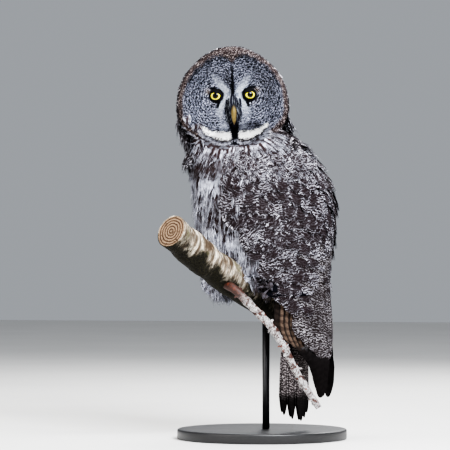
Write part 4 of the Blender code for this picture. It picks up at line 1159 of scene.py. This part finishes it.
def makeCoverts(name, side, seed):  # overlapping rows over the wing and half the mantle
    draw = np.random.default_rng(seed)
    lengthAt, halfAt = curve(coverts["sizes"], 1), curve(coverts["sizes"], 2)
    share = np.linspace(0, 1, coverts["steps"] + 1)
    vanes = []
    for row in range(coverts["rows"]):
        z0 = mix(coverts["top"], coverts["low"], row / (coverts["rows"] - 1))
        half = float(halfAt(z0))
        angles = np.linspace(float(wingEdges(z0)[0]), math.pi, 60)
        arc = bodySurface(angles, np.full(60, z0))
        run = np.concatenate([[0], np.cumsum(np.linalg.norm(np.diff(arc, axis=0), axis=1))])
        count = int(run[-1] / (half * coverts["spacing"]))
        for k in range(count + 1):
            part = (k + 0.5 * (row % 2) + draw.normal(0, coverts["strayAlong"])) / count
            if part > 1.02:
                continue
            start = float(np.interp(part * run[-1], run, angles))
            full = max(smooth(part / coverts["shortTo"]), above(z0, 0.33, 0.06))
            length = float(lengthAt(z0)) * draw.uniform(*coverts["sizeRange"])
            length = length * mix(coverts["shortest"], 1.0, full)
            top = z0 + draw.normal(0, coverts["strayUp"])
            z = top - length * share
            edge = float(wingEdges(top)[0])
            keep = (start - edge) / (math.pi - edge)
            angle = (mix(start, mix(wingEdges(z)[0], math.pi, keep), coverts["follow"])
                     + coverts["drift"] * share * (1 - keep))
            angle = angle + draw.normal(0, coverts["tilt"]) * share
            tipLift = coverts["tipLift"] + draw.normal(0, coverts["strayLift"])
            lift = mix(coverts["rootLift"], tipLift, share**0.9)
            lift = lift - 0.001 * below(z, 0.285, 0.05)
            spine = bodySurface(side * angle, z, lift)
            vanes.append((spine, unit(bodySurface(side * angle, z, lift + 0.001) - spine), length,
                          half * draw.uniform(*coverts["sizeRange"])))
    layVanes(name, vanes, "coverts", wingPaint, "mantle", seed + 1)


makeCoverts("coverts_left", 1, 51)
makeCoverts("coverts_right", -1, 56)

wingTiers = {
    "primaries": {
        "count": 10, "half": 0.0118, "shares": (0.27, 1.0), "root": 0.3, "rootLift": -0.0075,
        "tips": ((0.0, 0.164), (0.2, 0.15), (0.4, 0.122), (0.55, 0.1), (0.7, 0.078), (0.82, 0.068),
                 (0.92, 0.074), (1.0, 0.096)),
        "lifts": (-0.0044, -0.0008), "flat": 0.9,
    },
    "secondaries": {
        "count": 11, "half": 0.0122, "shares": (0.58, 1.08), "root": 0.35, "rootLift": -0.0035,
        "tips": ((0.0, 0.168), (0.2, 0.154), (0.5, 0.139), (1.0, 0.134)),
        "lifts": (0.0016, 0.0058), "flat": 0.5,
    },
    "straight": 0.13, "dip": (0.172, 0.026), "climb": 0.0006, "flatFrom": 0.168,
    "steps": 14, "seed": 11, "strayTip": 0.002, "widths": (0.96, 1.04),
}


def makeFlight(name, side, tier, paint, look, *nodes):
    draw = random.Random(wingTiers["seed"])
    tipAt = curve(tier["tips"])
    root = tier["root"]
    vanes = []
    for k in range(tier["count"]):
        share = k / (tier["count"] - 1)
        tip = float(tipAt(share)) + draw.uniform(-wingTiers["strayTip"], wingTiers["strayTip"])
        z = np.linspace(root, tip, wingTiers["steps"] + 1)
        dipAt, dipHalf = wingTiers["dip"]
        dip = bell(z - dipAt, dipHalf)  # keeps the front ones upright where the edge turns back
        across = mix(*tier["shares"], share) - wingTiers["straight"] * (1 - share) * dip
        rootLift = tier["rootLift"] + share * wingTiers["climb"]
        lift = mix(rootLift, mix(*tier["lifts"], share), below(z, root, 0.045))
        angle = side * mix(*wingEdges(z), across)
        spine = bodySurface(angle, z, lift)
        sideways = bodyPlace(side * np.ones(len(z)), 0.0, z) * np.array([1, 1, 0])
        flat = tier["flat"] * below(z, wingTiers["flatFrom"], 0.05)[:, None]
        upright = unit(mix(unit(bodySurface(angle, z, lift + 0.001) - spine), sideways, flat))
        vanes.append((spine, upright, root - tip, tier["half"] * draw.uniform(*wingTiers["widths"])))
    layVanes(name, vanes, "flight", paint, look, 61, *nodes)


for sideName, side in sides:
    makeFlight("primaries_" + sideName, side, wingTiers["primaries"],
               lambda vanes, side=side: primaryPaint(vanes, side), "quill")
    makeFlight("secondaries_" + sideName, side, wingTiers["secondaries"], secondaryPaint, "flight",
               "wing_" + sideName)


tailVanes = {"rise": 0.016, "rootOut": (0.004, 0.024), "forward": 0.003}


def makeTail():
    vanes = []
    for k in range(tail["pairs"]):
        share = k / (tail["pairs"] - 1)
        for side in (-1, 1):
            stack = (tail["middle"] + tail["stack"] - tail["pairStep"] * k
                     - (tail["sideStep"] if side < 0 else 0.0))
            tipOut = (tail["half"] - tail["featherHalf"] * 0.8) * tail["tips"][k]
            low = tail["tip"] + tailVanes["rise"] * share**1.5
            z = np.linspace(tail["root"], low, tail["steps"] + 1)
            fall = (tail["root"] - z) / (tail["root"] - low)
            out = side * mix(mix(*tailVanes["rootOut"], share), tipOut, fall)
            ahead = fall * tailVanes["forward"]
            spine = bodyPlace(out, stack - ahead, z)
            behind = bodyPlace(out, stack + 0.01 - ahead, z)
            vanes.append((spine, unit(behind - spine), tail["root"] - low, tail["featherHalf"]))
    layVanes("tail_feathers", vanes, "tail", tailPaint, "flight", 71, "tail")


makeTail()


def onBall(polar, turn, raised=0.0):  # places on the eyeball, or raised above it
    radius = eye["radius"] + eye["bulge"] * smooth((0.75 - polar) / 0.5) + raised
    return vector(np.cos(turn) * np.sin(polar) * radius, np.sin(turn) * np.sin(polar) * radius,
                  np.cos(polar) * radius)


def eyePlaced(side, points):
    up = Vector(headUp)
    facing = Matrix.Rotation(side * eye["outward"], 3, up) @ Vector(headForward)
    place = Vector(headPlace(side * eye["apart"] / 2, eye["forward"], eye["up"]))
    across = up.cross(facing).normalized()
    basis = Matrix((across, facing.cross(across), facing)).transposed().to_4x4()
    matrix = np.array(Matrix.Translation(place) @ basis)
    return points @ matrix[:3, :3].T + matrix[:3, 3]


eyeHues = {
    "pupil": (0.002, 0.002, 0.002), "warm": (0.3, 0.22, 0.01), "rim": (0.03, 0.02, 0.003),
    "yellow": ((0.5, 0.4, 0.01), (0.86, 0.8, 0.05)),
}


def eyeLook():
    kit = Kit("eye")
    polar, turn, _ = kit.split("iris")
    threads = kit.noise(9.0, 3.0, kit.join(turn * 6.0, polar))
    edge = eye["iris"] / eye["radius"]
    inner = eye["pupil"] / eye["radius"]
    yellow = kit.blend(*eyeHues["yellow"], kit.step(threads, 0.3, 0.62))
    warm = kit.blend(eyeHues["warm"], yellow, kit.step(polar, inner, inner + 0.08))
    rimmed = kit.blend(warm, eyeHues["rim"], kit.step(polar, edge - 0.12, edge + 0.02))
    bare = kit.step(polar + (threads - 0.5) * 0.02, inner - 0.01, inner + 0.015)
    return kit.finish(Base_Color=kit.blend(eyeHues["pupil"], rimmed, bare), Roughness=0.1,
                      Specular_IOR_Level=0.16, Coat_Weight=0.12, Coat_Roughness=0.02)


def makeEye(name, side, look, node):
    polar, turn = np.meshgrid(np.linspace(0.001, math.pi - 0.001, 48), around(64), indexing="ij")
    piece = closedForm(name, eyePlaced(side, onBall(polar, turn)), look)
    values = vector(np.sin(np.minimum(polar, math.pi / 2)), np.cos(turn), np.sin(turn)).reshape(-1, 3)
    addValues(piece, "iris", np.vstack([values, [[0, 0, 0]], [[1, 0, 0]]]))
    keepPiece(piece, "eye", node)


lids = {  # a thick rim round the eyeball
    "raised": ((0, 0.0003), (0.05, 0.0011), (0.2, 0.0013), (0.5, 0.001), (0.8, 0.0005), (1, 0.0001)),
    "opening": 40.5, "edge": 84, "under": ((84, -0.0006), (66, -0.0006), (48, -0.0004)),
    # how far the upper lid hangs, how much more towards the bill, and how far the lower one is drawn in
    "droop": 0.53, "slant": 0.16, "lower": 0.3,
}


def lidLook():
    kit = Kit("lid")
    grain = kit.noise(900.0)
    return kit.finish(Base_Color=kit.blend((0.002, 0.002, 0.003), (0.01, 0.009, 0.01), grain),
                      Roughness=0.55 + 0.3 * grain, Specular_IOR_Level=0.06,
                      Normal=kit.bump(grain, 0.3, 0.0003))


def makeLid(name, side, look, node):
    raisedAt = curve(lids["raised"])
    profile = [(mix(lids["opening"], lids["edge"], share), float(raisedAt(share)))
               for share in np.linspace(0, 1, 16)]
    turn = around(72)
    droop = 1.0 - np.maximum(np.sin(turn), 0) * (lids["droop"] - lids["slant"] * side * np.cos(turn))
    droop = droop - lids["lower"] * np.maximum(-np.sin(turn), 0)
    rings = []
    for polar, raised in (*profile, *lids["under"]):
        bend = np.radians(polar) * mix(droop, 1.0, smooth((polar - 44) / 40))
        rings.append(onBall(bend, turn, raised))
    rings = np.array(rings).transpose(1, 0, 2)
    rows, columns = rings.shape[:2]
    faces = gridFaces(rows + 1, columns) % (rows * columns)
    keepPiece(meshPiece(name, eyePlaced(side, rings.reshape(-1, 3)), faces, look), "lid", node)


eyeShine = eyeLook()
lidSkin = lidLook()
for sideName, side in sides:
    makeEye("eyeball_" + sideName, side, eyeShine, "eye_" + sideName)
    makeLid("eyelids_" + sideName, side, lidSkin, "lid_" + sideName)
print("eyes and lids made")

bill = {
    # height, forward, half width, half depth
    "upper": ((-0.01, 0.05, 0.003, 0.0036), (-0.014, 0.0575, 0.0042, 0.0056),
              (-0.0185, 0.0628, 0.0046, 0.0066), (-0.0255, 0.0655, 0.0044, 0.0062),
              (-0.033, 0.065, 0.0036, 0.0047), (-0.0395, 0.0627, 0.0024, 0.003),
              (-0.0445, 0.0598, 0.0004, 0.0005)),
    "lower": ((-0.017, 0.049, 0.0044, 0.0036), (-0.0255, 0.0545, 0.0042, 0.004),
              (-0.033, 0.057, 0.0033, 0.003), (-0.038, 0.0575, 0.001, 0.0009)),
    "nostril": (0.0044, 0.066, -0.0165), "nostrilDepth": 0.0016, "nostrilHalf": 0.0013,
    "ridge": 0.1, "rows": 40,
}


def billLook():
    kit = Kit("bill")
    grain = kit.noise(260.0, stretch=(1, 1, 0.25))
    along = kit.split("along")[0]
    horn = kit.blend((0.075, 0.05, 0.012), (0.17, 0.125, 0.038), kit.step(grain, 0.3, 0.7))
    tip = kit.blend(horn, (0.07, 0.048, 0.022), kit.step(along, 0.82, 1.0))
    root = kit.blend((0.012, 0.01, 0.009), tip, kit.step(along, 0.14, 0.46))
    return kit.finish(Base_Color=root, Roughness=0.36 + 0.2 * grain, Specular_IOR_Level=0.3,
                      Normal=kit.bump(grain, 0.15, 0.0003))


def makeBill(name, rows, leaning, look, node):
    count = bill["rows"]
    heights = np.linspace(rows[0][0], rows[-1][0], count)
    reach, half, deep = (curve(rows, k)(heights)[:, None] for k in (1, 2, 3))
    turn = around(count)[None, :]
    lean = unit(headForward * 0.85 + headUp * 0.5) if leaning else headForward
    crown = 1.0 + bill["ridge"] * np.maximum(np.sin(turn), 0) ** 6  # the ridge along the top
    centre = headPlace(0.0 * heights, reach[:, 0], heights)[:, None, :]
    rings = (centre + headLeft * (np.cos(turn) * half)[..., None]
             + lean * (np.sin(turn) * deep * crown)[..., None])
    for side in (-1, 1) if leaning else ():
        outward, forward, height = bill["nostril"]
        away = np.linalg.norm(rings - headPlace(side * outward, forward, height), axis=-1)
        dent = bill["nostrilDepth"] * bell(away, bill["nostrilHalf"])
        rings = rings - (headLeft * side) * dent[..., None]
    piece = closedForm(name, rings, look)
    share = np.repeat(np.linspace(0, 1, count), count)
    addValues(piece, "along", vector(np.concatenate([share, [0, 1]]), 0.0, 0.0))
    keepPiece(piece, "bill", node)


horn = billLook()
makeBill("bill_hook", bill["upper"], True, horn, "bill_upper")
makeBill("bill_under", bill["lower"], False, horn, "bill_lower")

bristles = {
    "count": 760, "half": 0.0005, "seed": 81,
    "onRoot": 0.45,  # share of them that grows over the bill's root itself
    "rootLength": (0.017, 0.027), "sideLength": (0.01, 0.016),
    "rootLeft": (0, 0.0042), "sideLeft": (0.003, 0.0115),
    "rootUp": (-0.007, 0.007), "sideUp": (-0.034, 0.002),
    "rootAhead": 1.35, "sideAhead": 0.5, "rootOut": 0.1, "sideOut": 0.2,
}


def makeBristles():  # fine stiff feathers that cover the bill's root and lie beside it
    draw = np.random.default_rng(bristles["seed"])
    count = bristles["count"]
    onRoot = draw.random(count) < bristles["onRoot"]
    side = draw.choice([-1.0, 1.0], count)

    def drawn(measure):
        return np.where(onRoot, draw.uniform(*bristles["root" + measure], count),
                        draw.uniform(*bristles["side" + measure], count))

    def chosen(measure):
        return np.where(onRoot, bristles["root" + measure], bristles["side" + measure])[:, None]

    left = side * drawn("Left")
    before = headPlace(left, 0.11, drawn("Up"))  # a place ahead of the face
    roots = np.array([ground.tree.ray_cast(Vector(place), Vector(-headForward))[0] for place in before])
    lengths = drawn("Length")
    share = np.linspace(0, 1, 6)[None, :]
    ahead = chosen("Ahead") * lengths[:, None] * (share - 0.5 * share**2)
    drop = lengths[:, None] * (0.35 * share + 0.6 * share**2)
    out = side[:, None] * chosen("Out") * lengths[:, None] * share
    out = out + draw.normal(0, 0.001, count)[:, None] * share
    spine = (roots[:, None] + headForward * ahead[..., None] - headUp * drop[..., None]
             + headLeft * out[..., None])
    upright = np.broadcast_to(unit(headForward * 0.8 + headUp * 0.4), spine.shape)
    halves = bristles["half"] * draw.uniform(0.8, 1.3, count)
    keepPiece(featherPiece("bristles", spine, upright, lengths, halves, "bristles", bristlePaint,
                           looks["face"], bristles["seed"] + 1, unwrapFace), "face")


makeBristles()
print("bill made")


def barkValues(piece, run, turn, height):  # how far along, the turn and the height, with both ends
    values = vector(run[:, None], turn[None, :], height[None, :]).reshape(-1, 3)
    addValues(piece, "bark", np.vstack([values, [[run[0], 0, 0]], [[run[-1], 0, 0]]]))


barkHues = {  # a pair runs from dark to pale
    "bands": ((0.15, 0.1, 0.06), (0.8, 0.72, 0.59)), "fine": (0.2, 0.14, 0.09),
    "cracks": (0.02, 0.013, 0.008), "stains": (0.045, 0.04, 0.01),
    # painted shade: near black with a mossy tint, for the branch's underside
    "underShade": ((0.003, 0.002, 0.001), (0.016, 0.014, 0.006)),
    "wood": ((0.055, 0.03, 0.017), (0.22, 0.15, 0.095)), "woodGrain": (0.03, 0.018, 0.01),
}
barkScales = {"bands": 105.0, "fine": 380.0, "mottle": 34.0, "grain": 460.0, "growth": 36.0}


def barkLook():
    kit = Kit("bark")
    run, turn, height = kit.split("bark")
    sawn, core, _ = kit.split("sawn")
    ring = kit.join(run, kit.sine(turn) * 0.016, height * 0.008)
    bands = kit.noise(barkScales["bands"], 4.0, ring)
    fine = kit.noise(barkScales["fine"], 3.0, ring)
    mottle = kit.noise(barkScales["mottle"])
    grain = kit.noise(barkScales["grain"])
    tan = kit.blend(*barkHues["bands"], kit.step(bands, 0.36, 0.6))
    tan = kit.blend(tan, barkHues["fine"], kit.step(fine, 0.48, 0.58) * 0.75)
    tan = kit.blend(tan, barkHues["cracks"], kit.step(fine * bands, 0.31, 0.26) * 0.75)
    tan = kit.blend(tan, barkHues["stains"], kit.step(mottle * bands, 0.3, 0.36) * 0.8)
    # painted shade on the branch's underside, broken up by the mottle
    underShade = kit.step(0 - height + (mottle - 0.5) * 1.7 + (fine - 0.5) * 0.9, 0.1, 0.62)
    underShadeHue = kit.blend(*barkHues["underShade"], kit.step(grain, 0.35, 0.7))
    growth = kit.step(kit.sine((core + (mottle - 0.5) * 0.2) * barkScales["growth"]), 0.15, 0.85)
    wood = kit.blend(*barkHues["wood"], growth)
    wood = kit.blend(wood, barkHues["woodGrain"], kit.step(grain, 0.54, 0.68))
    relief = bands * 0.5 + fine * 0.7 + grain * 0.25 + underShade * grain
    return kit.finish(Base_Color=kit.blend(kit.blend(tan, underShadeHue, underShade), wood, sawn),
                      Roughness=0.65 + 0.3 * grain, Specular_IOR_Level=0.2,
                      Normal=kit.bump(relief, 0.8, 0.002))


def makePerch(look):
    run = np.linspace(perch["start"], perch["end"], perch["rows"])
    turn = around(perch["sides"])
    runs, turns = np.meshgrid(run, turn, indexing="ij")
    away = above(np.abs(runs), perch["plain"], 0.04)
    swell = sum(high * np.sin(runs * often) for high, often in perch["swells"])
    aside = np.abs(np.remainder(turns - perch["knotTurn"] + math.pi, fullTurn) - math.pi)
    knot = np.exp(-(((runs - perch["knotAt"]) / 0.014) ** 2) - (aside / 0.5) ** 2)
    radius = perch["radius"] * (1 + away * swell) * (1 + perch["knotHigh"] * knot)
    rough = np.array([[noise.fractal(Vector((r * 55, math.cos(t) * 1.1, math.sin(t) * 1.1)), 1.0, 2.0, 4)
                       for t in turn] for r in run])
    ridges = np.array([noise.noise(Vector((r * 260, 0.4, 7.1))) for r in run])[:, None]
    radius = radius + perch["rough"] * rough + perch["ridges"] * ridges
    shares = perch["rings"]
    ends = [np.array([onPerch(runs[k], turns[k], radius[k] * share) for share in order])
            for k, order in ((0, shares[::-1]), (-1, shares))]
    piece = closedForm("perch_bark", np.concatenate([ends[0], onPerch(runs, turns, radius), ends[1]]), look)
    more = len(shares)
    barkValues(piece, np.concatenate([np.repeat(run[:1], more), run, np.repeat(run[-1:], more)]), turn,
               np.cos(turn))
    core = np.concatenate([shares[::-1], np.ones(len(run)), shares])
    values = np.repeat(vector(core < 0.96, core, 0.0), len(turn), axis=0)
    addValues(piece, "sawn", np.vstack([values, [[1, 0, 0]], [[1, 0, 0]]]))
    keepPiece(piece, "bark", "perch")


makePerch(barkLook())

twig = {
    "radius": 0.0062, "taper": (1.15, 0.86), "knobs": 0.12, "joint": 0.16, "rows": 260, "sides": 28,
    "shootLength": (0.006, 0.011), "shootRadii": (0.0024, 0.0011), "seed": 91,
    "flakes": 80, "firstFlake": 40, "flakeTurn": (0.5, 1.5), "flakeLift": (0.0006, 0.0042),
    "flakeHalf": (0.0012, 0.0034),
    "joints": (0.052, 0.086, 0.118, 0.15, 0.186, 0.214),
    "points": ((0.108, -0.042, 0.256), (0.123, -0.023, 0.247), (0.122, 0.004, 0.22),
               (0.118, 0.036, 0.186), (0.115, 0.059, 0.147), (0.113, 0.08, 0.106),
               (0.111, 0.111, 0.058)),
}


twigHues = {  # a pair runs from dark to pale
    "red": ((0.012, 0.003, 0.002), (0.06, 0.015, 0.006)), "pale": ((0.1, 0.09, 0.09), (0.42, 0.4, 0.395)),
    "cracks": (0.035, 0.012, 0.008), "spots": (0.09, 0.02, 0.008),
}
twigScales = {"flakes": 120.0, "grain": 500.0, "spots": 105.0, "cracks": 260.0}


def twigLook():
    kit = Kit("twig")
    run, turn, height = kit.split("bark")
    ring = kit.join(run, kit.sine(turn) * 0.006, height * 0.006)
    flakes = kit.noise(twigScales["flakes"], 4.0, ring)
    grain = kit.noise(twigScales["grain"])
    spots = kit.noise(twigScales["spots"])
    red = kit.blend(*twigHues["red"], kit.step(grain, 0.34, 0.66))
    pale = kit.blend(*twigHues["pale"], kit.step(grain, 0.35, 0.65))
    peel = kit.step(flakes * 0.88 + spots * 0.12, 0.41, 0.46) * kit.step(run, 0.03, 0.065)
    crack = kit.step(kit.noise(twigScales["cracks"], 2.0, ring), 0.57, 0.66)
    colour = kit.blend(kit.blend(red, pale, peel), twigHues["cracks"], crack * 0.85)
    colour = kit.blend(colour, twigHues["spots"], kit.step(spots, 0.6, 0.66) * 0.9)
    return kit.finish(Base_Color=colour, Roughness=0.45 + 0.35 * grain,
                      Normal=kit.bump(peel + grain * 0.3, 0.6, 0.0008))


def tube(name, centres, radii, count, up, look):
    ahead = np.gradient(centres, axis=0)
    across = unit(np.cross(ahead, up))
    upright = unit(np.cross(across, ahead))
    turn = around(count)
    rings = (centres[:, None] + across[:, None] * np.cos(turn)[None, :, None] * radii[:, None, None]
             + upright[:, None] * np.sin(turn)[None, :, None] * radii[:, None, None])
    return closedForm(name, rings, look), turn


def makeTwig(look):
    rows = twig["points"]
    centres = np.stack(columnsAlong(rows, twig["rows"]), axis=-1)
    share = np.linspace(0, len(rows) - 1, twig["rows"]) / (len(rows) - 1)
    far = np.concatenate([[0], np.cumsum(np.linalg.norm(np.diff(centres, axis=0), axis=1))])
    knobs = np.array([noise.noise(Vector((run * 60, 3.1, 0.2))) for run in far])
    joints = sum(bell(far - place, 0.004) for place in twig["joints"])
    radii = twig["radius"] * (mix(*twig["taper"], share) + twig["knobs"] * knobs + twig["joint"] * joints)
    piece, turn = tube("twig_bark", centres, radii, twig["sides"], -down, look)
    barkValues(piece, far, turn, np.sin(turn))
    keepPiece(piece, "bark", "perch_twig")
    draw = np.random.default_rng(twig["seed"])
    ahead = unit(np.gradient(centres, axis=0))
    share = np.linspace(0, 1, 8)
    for k, place in enumerate(twig["joints"]):  # short broken side shoots
        i = int(np.searchsorted(far, place))
        out = unit(np.cross(ahead[i], [0.2, 0.3, 1.0]) * (1 if k % 2 else -1) + draw.normal(0, 0.4, 3))
        length = draw.uniform(*twig["shootLength"])
        run = centres[i] + (out + 0.25 * ahead[i]) * (radii[i] * 0.5 + length * share)[:, None]
        piece, turn = tube(f"twig_shoot_{k + 1}", run, mix(*twig["shootRadii"], share), 10, ahead[i], look)
        barkValues(piece, far[i] + share * 0.01, turn, np.sin(turn))
        keepPiece(piece, "bark")
    count = twig["flakes"]
    i = draw.integers(twig["firstFlake"], len(far) - 4, count)
    turns = draw.uniform(0, fullTurn, count)
    share = np.linspace(0, 1, 5)[None, :]
    across = unit(np.cross(ahead[i], [0, 0, 1.0]))
    upright = np.cross(across, ahead[i])
    turned = turns[:, None] + (draw.uniform(*twig["flakeTurn"], count)[:, None] * share
                               * draw.choice([-1, 1], count)[:, None])
    lift = radii[i][:, None] + 0.0002 + draw.uniform(*twig["flakeLift"], count)[:, None] * share**2
    ring = (across[:, None] * np.cos(turned)[..., None]
            + upright[:, None] * np.sin(turned)[..., None]) * lift[..., None]
    wide = (draw.uniform(*twig["flakeHalf"], count)[:, None, None] * (1 - 0.5 * share[..., None])
            * np.array([-1.0, 1.0]))
    points = (centres[i][:, None, None] + ring[:, :, None]
              + ahead[i][:, None, None] * (wide + 0.0004 * draw.normal(0, 1, wide.shape))[..., None])
    piece = meshPiece("twig_flakes", points.reshape(-1, 3), stripFaces(wide.shape), look)
    addValues(piece, "bark", vector(far[i][:, None, None] + 0 * wide, turned[..., None], 0.0).reshape(-1, 3))
    keepPiece(piece, "bark")


makeTwig(twigLook())
print("branch made")

feet = {
    "apart": 0.04, "toeTip": 0.0052, "spread": 0.017, "front": math.radians(74),
    "back": math.radians(62), "backAside": 0.004,
    "claw": 0.0036, "clawTip": 0.0003, "sweep": math.radians(52), "set": math.radians(7),
}


def clawLook():
    kit = Kit("claw")
    grain = kit.noise(350.0)
    return kit.finish(Base_Color=kit.blend((0.006, 0.006, 0.007), (0.05, 0.045, 0.045), grain),
                      Roughness=0.22 + 0.2 * grain, Coat_Weight=0.4, Coat_Roughness=0.15)


def makeClaws(look):
    share = np.linspace(0, 1, 24)
    for sideName, side in sides:
        middle = side * feet["apart"]
        tips = [(middle + k * feet["spread"], feet["front"], 1.0) for k in (-1, 0, 1)]
        tips.append((middle + side * feet["backAside"], -feet["back"], -1.0))
        for k, (tip, reach, sign) in enumerate(tips):
            angle = reach + sign * (feet["sweep"] * share - feet["set"])
            height = perch["radius"] + mix(feet["toeTip"] * 0.95, 0.0012, share**1.3)
            name = f"claw_{sideName}_{k + 1}"
            piece, _ = tube(name + "_horn", onPerch(tip, angle, height),
                            mix(feet["claw"], feet["clawTip"], share**1.2), 20, perchRun, look)
            keepPiece(piece, "claw", name)


makeClaws(clawLook())
print("claws made")

stand = {
    "radius": 0.14, "height": 0.016, "edge": 0.003, "rod": 0.006, "sides": 160, "rodSides": 48,
    "black": ((0.01, 0.01, 0.011), (0.022, 0.021, 0.021), 0.0, 0.32),
    "steel": ((0.035, 0.035, 0.037), (0.06, 0.06, 0.062), 0.8, 0.3),
}


def standLook(name):
    kit = Kit("stand_" + name)
    dark, pale, metallic, roughness = stand[name]
    grain = kit.noise(180.0, 4.0)
    return kit.finish(Base_Color=kit.blend(dark, pale, grain), Metallic=metallic,
                      Roughness=roughness + 0.14 * kit.noise(14.0, 2.0) + 0.08 * grain,
                      Normal=kit.bump(grain, 0.1, 0.0002))


def turnedForm(name, profile, count, look, place=(0.0, 0.0)):
    turn = around(count)
    rings = np.array([vector(place[0] + np.cos(turn) * radius, place[1] + np.sin(turn) * radius, z)
                      for radius, z in profile])
    return closedForm(name, rings, look)


def makeStand():
    radius, height, edge = stand["radius"], stand["height"], stand["edge"]
    profile = [(radius - edge * 0.4, 0.0), (radius, edge * 0.4)]
    for k in range(9):
        bend = k / 8 * math.pi / 2
        profile.append((radius - edge + edge * math.cos(bend), height - edge + edge * math.sin(bend)))
    profile += [(radius * share, height) for share in (0.9, 0.6, 0.3, 0.05)]
    keepPiece(turnedForm("stand_base_disc", profile, stand["sides"], standLook("black")), "stand",
              "stand_base")
    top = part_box("stand_rod")[1].z
    rod = [(stand["rod"], z) for z in (height + 0.0003, 0.1, top - 0.004)]
    keepPiece(turnedForm("stand_rod_bar", rod, stand["rodSides"], standLook("steel"), perch["middle"][:2]),
              "stand", "stand_rod")


makeStand()
print("stand made")

stage = {
    "azimuth": 100.0, "elevation": 0.0, "distance": 5.0, "seen": 0.7425, "across": -0.061,
    "height": 0.352, "sensor": 36.0,
    "floor": 6.0, "floorDrop": 0.0005, "world": (0.8, 0.84, 0.9, 1), "worldStrength": 0.38,
    "lampHeight": 0.4, "lampTarget": 0.38,
    "lamps": (  # name, ahead, aside, up, power, size, hue
        ("key", 1.9, 0.8, 1.3, 165, 1.0, (0.93, 0.96, 1.0)),
        ("fill", 1.2, -1.6, 0.6, 30, 1.8, (1, 0.97, 0.93)),
        ("back", -1.6, 0.6, 1.3, 50, 1.5, (1, 1, 1)),
        ("top", 0.1, 0.0, 2.3, 45, 1.2, (1, 1, 1))),
}


def addAimed(name, data, place, target):
    piece = bpy.data.objects.new(name, data)
    piece.location = place
    piece.rotation_euler = (target - piece.location).to_track_quat("-Z", "Y").to_euler()
    bpy.context.collection.objects.link(piece)
    return piece


def makeStage():
    kit = Kit("floor")
    look = kit.finish(Base_Color=kit.blend((0.62, 0.61, 0.59), (0.7, 0.69, 0.67), kit.noise(3.0)),
                      Roughness=0.8)
    far, low = stage["floor"], -stage["floorDrop"]
    corners = np.array([(-far, -far, low), (far, -far, low), (far, far, low), (-far, far, low)])
    meshPiece("floor", corners, np.array([[0, 1, 2, 3]]), look, False)
    bpy.context.scene.view_settings.look = "AgX - High Contrast"
    world = bpy.data.worlds.new("studio")
    bpy.context.scene.world = world
    world.use_nodes = True
    world.node_tree.nodes["Background"].inputs["Color"].default_value = stage["world"]
    world.node_tree.nodes["Background"].inputs["Strength"].default_value = stage["worldStrength"]
    turn, raised = math.radians(stage["azimuth"]), math.radians(stage["elevation"])
    facing = Vector((math.sin(turn), -math.cos(turn), 0))
    right = Vector((math.cos(turn), math.sin(turn), 0))
    camera = bpy.data.cameras.new("camera")
    camera.sensor_width = stage["sensor"]
    camera.lens = stage["sensor"] * stage["distance"] / stage["seen"]
    target = right * stage["across"] + Vector((0, 0, stage["height"]))
    away = (facing * math.cos(raised) + Vector((0, 0, math.sin(raised)))) * stage["distance"]
    bpy.context.scene.camera = addAimed("camera", camera, target + away, target)
    for name, ahead, aside, up, power, size, hue in stage["lamps"]:
        lamp = bpy.data.lights.new(name, "AREA")
        lamp.energy = power
        lamp.size = size
        lamp.color = hue
        place = Vector((0, 0, stage["lampHeight"])) + facing * ahead + right * aside + Vector((0, 0, up))
        addAimed(name, lamp, place, Vector((0, 0, stage["lampTarget"])))


makeStage()
print("stage made")
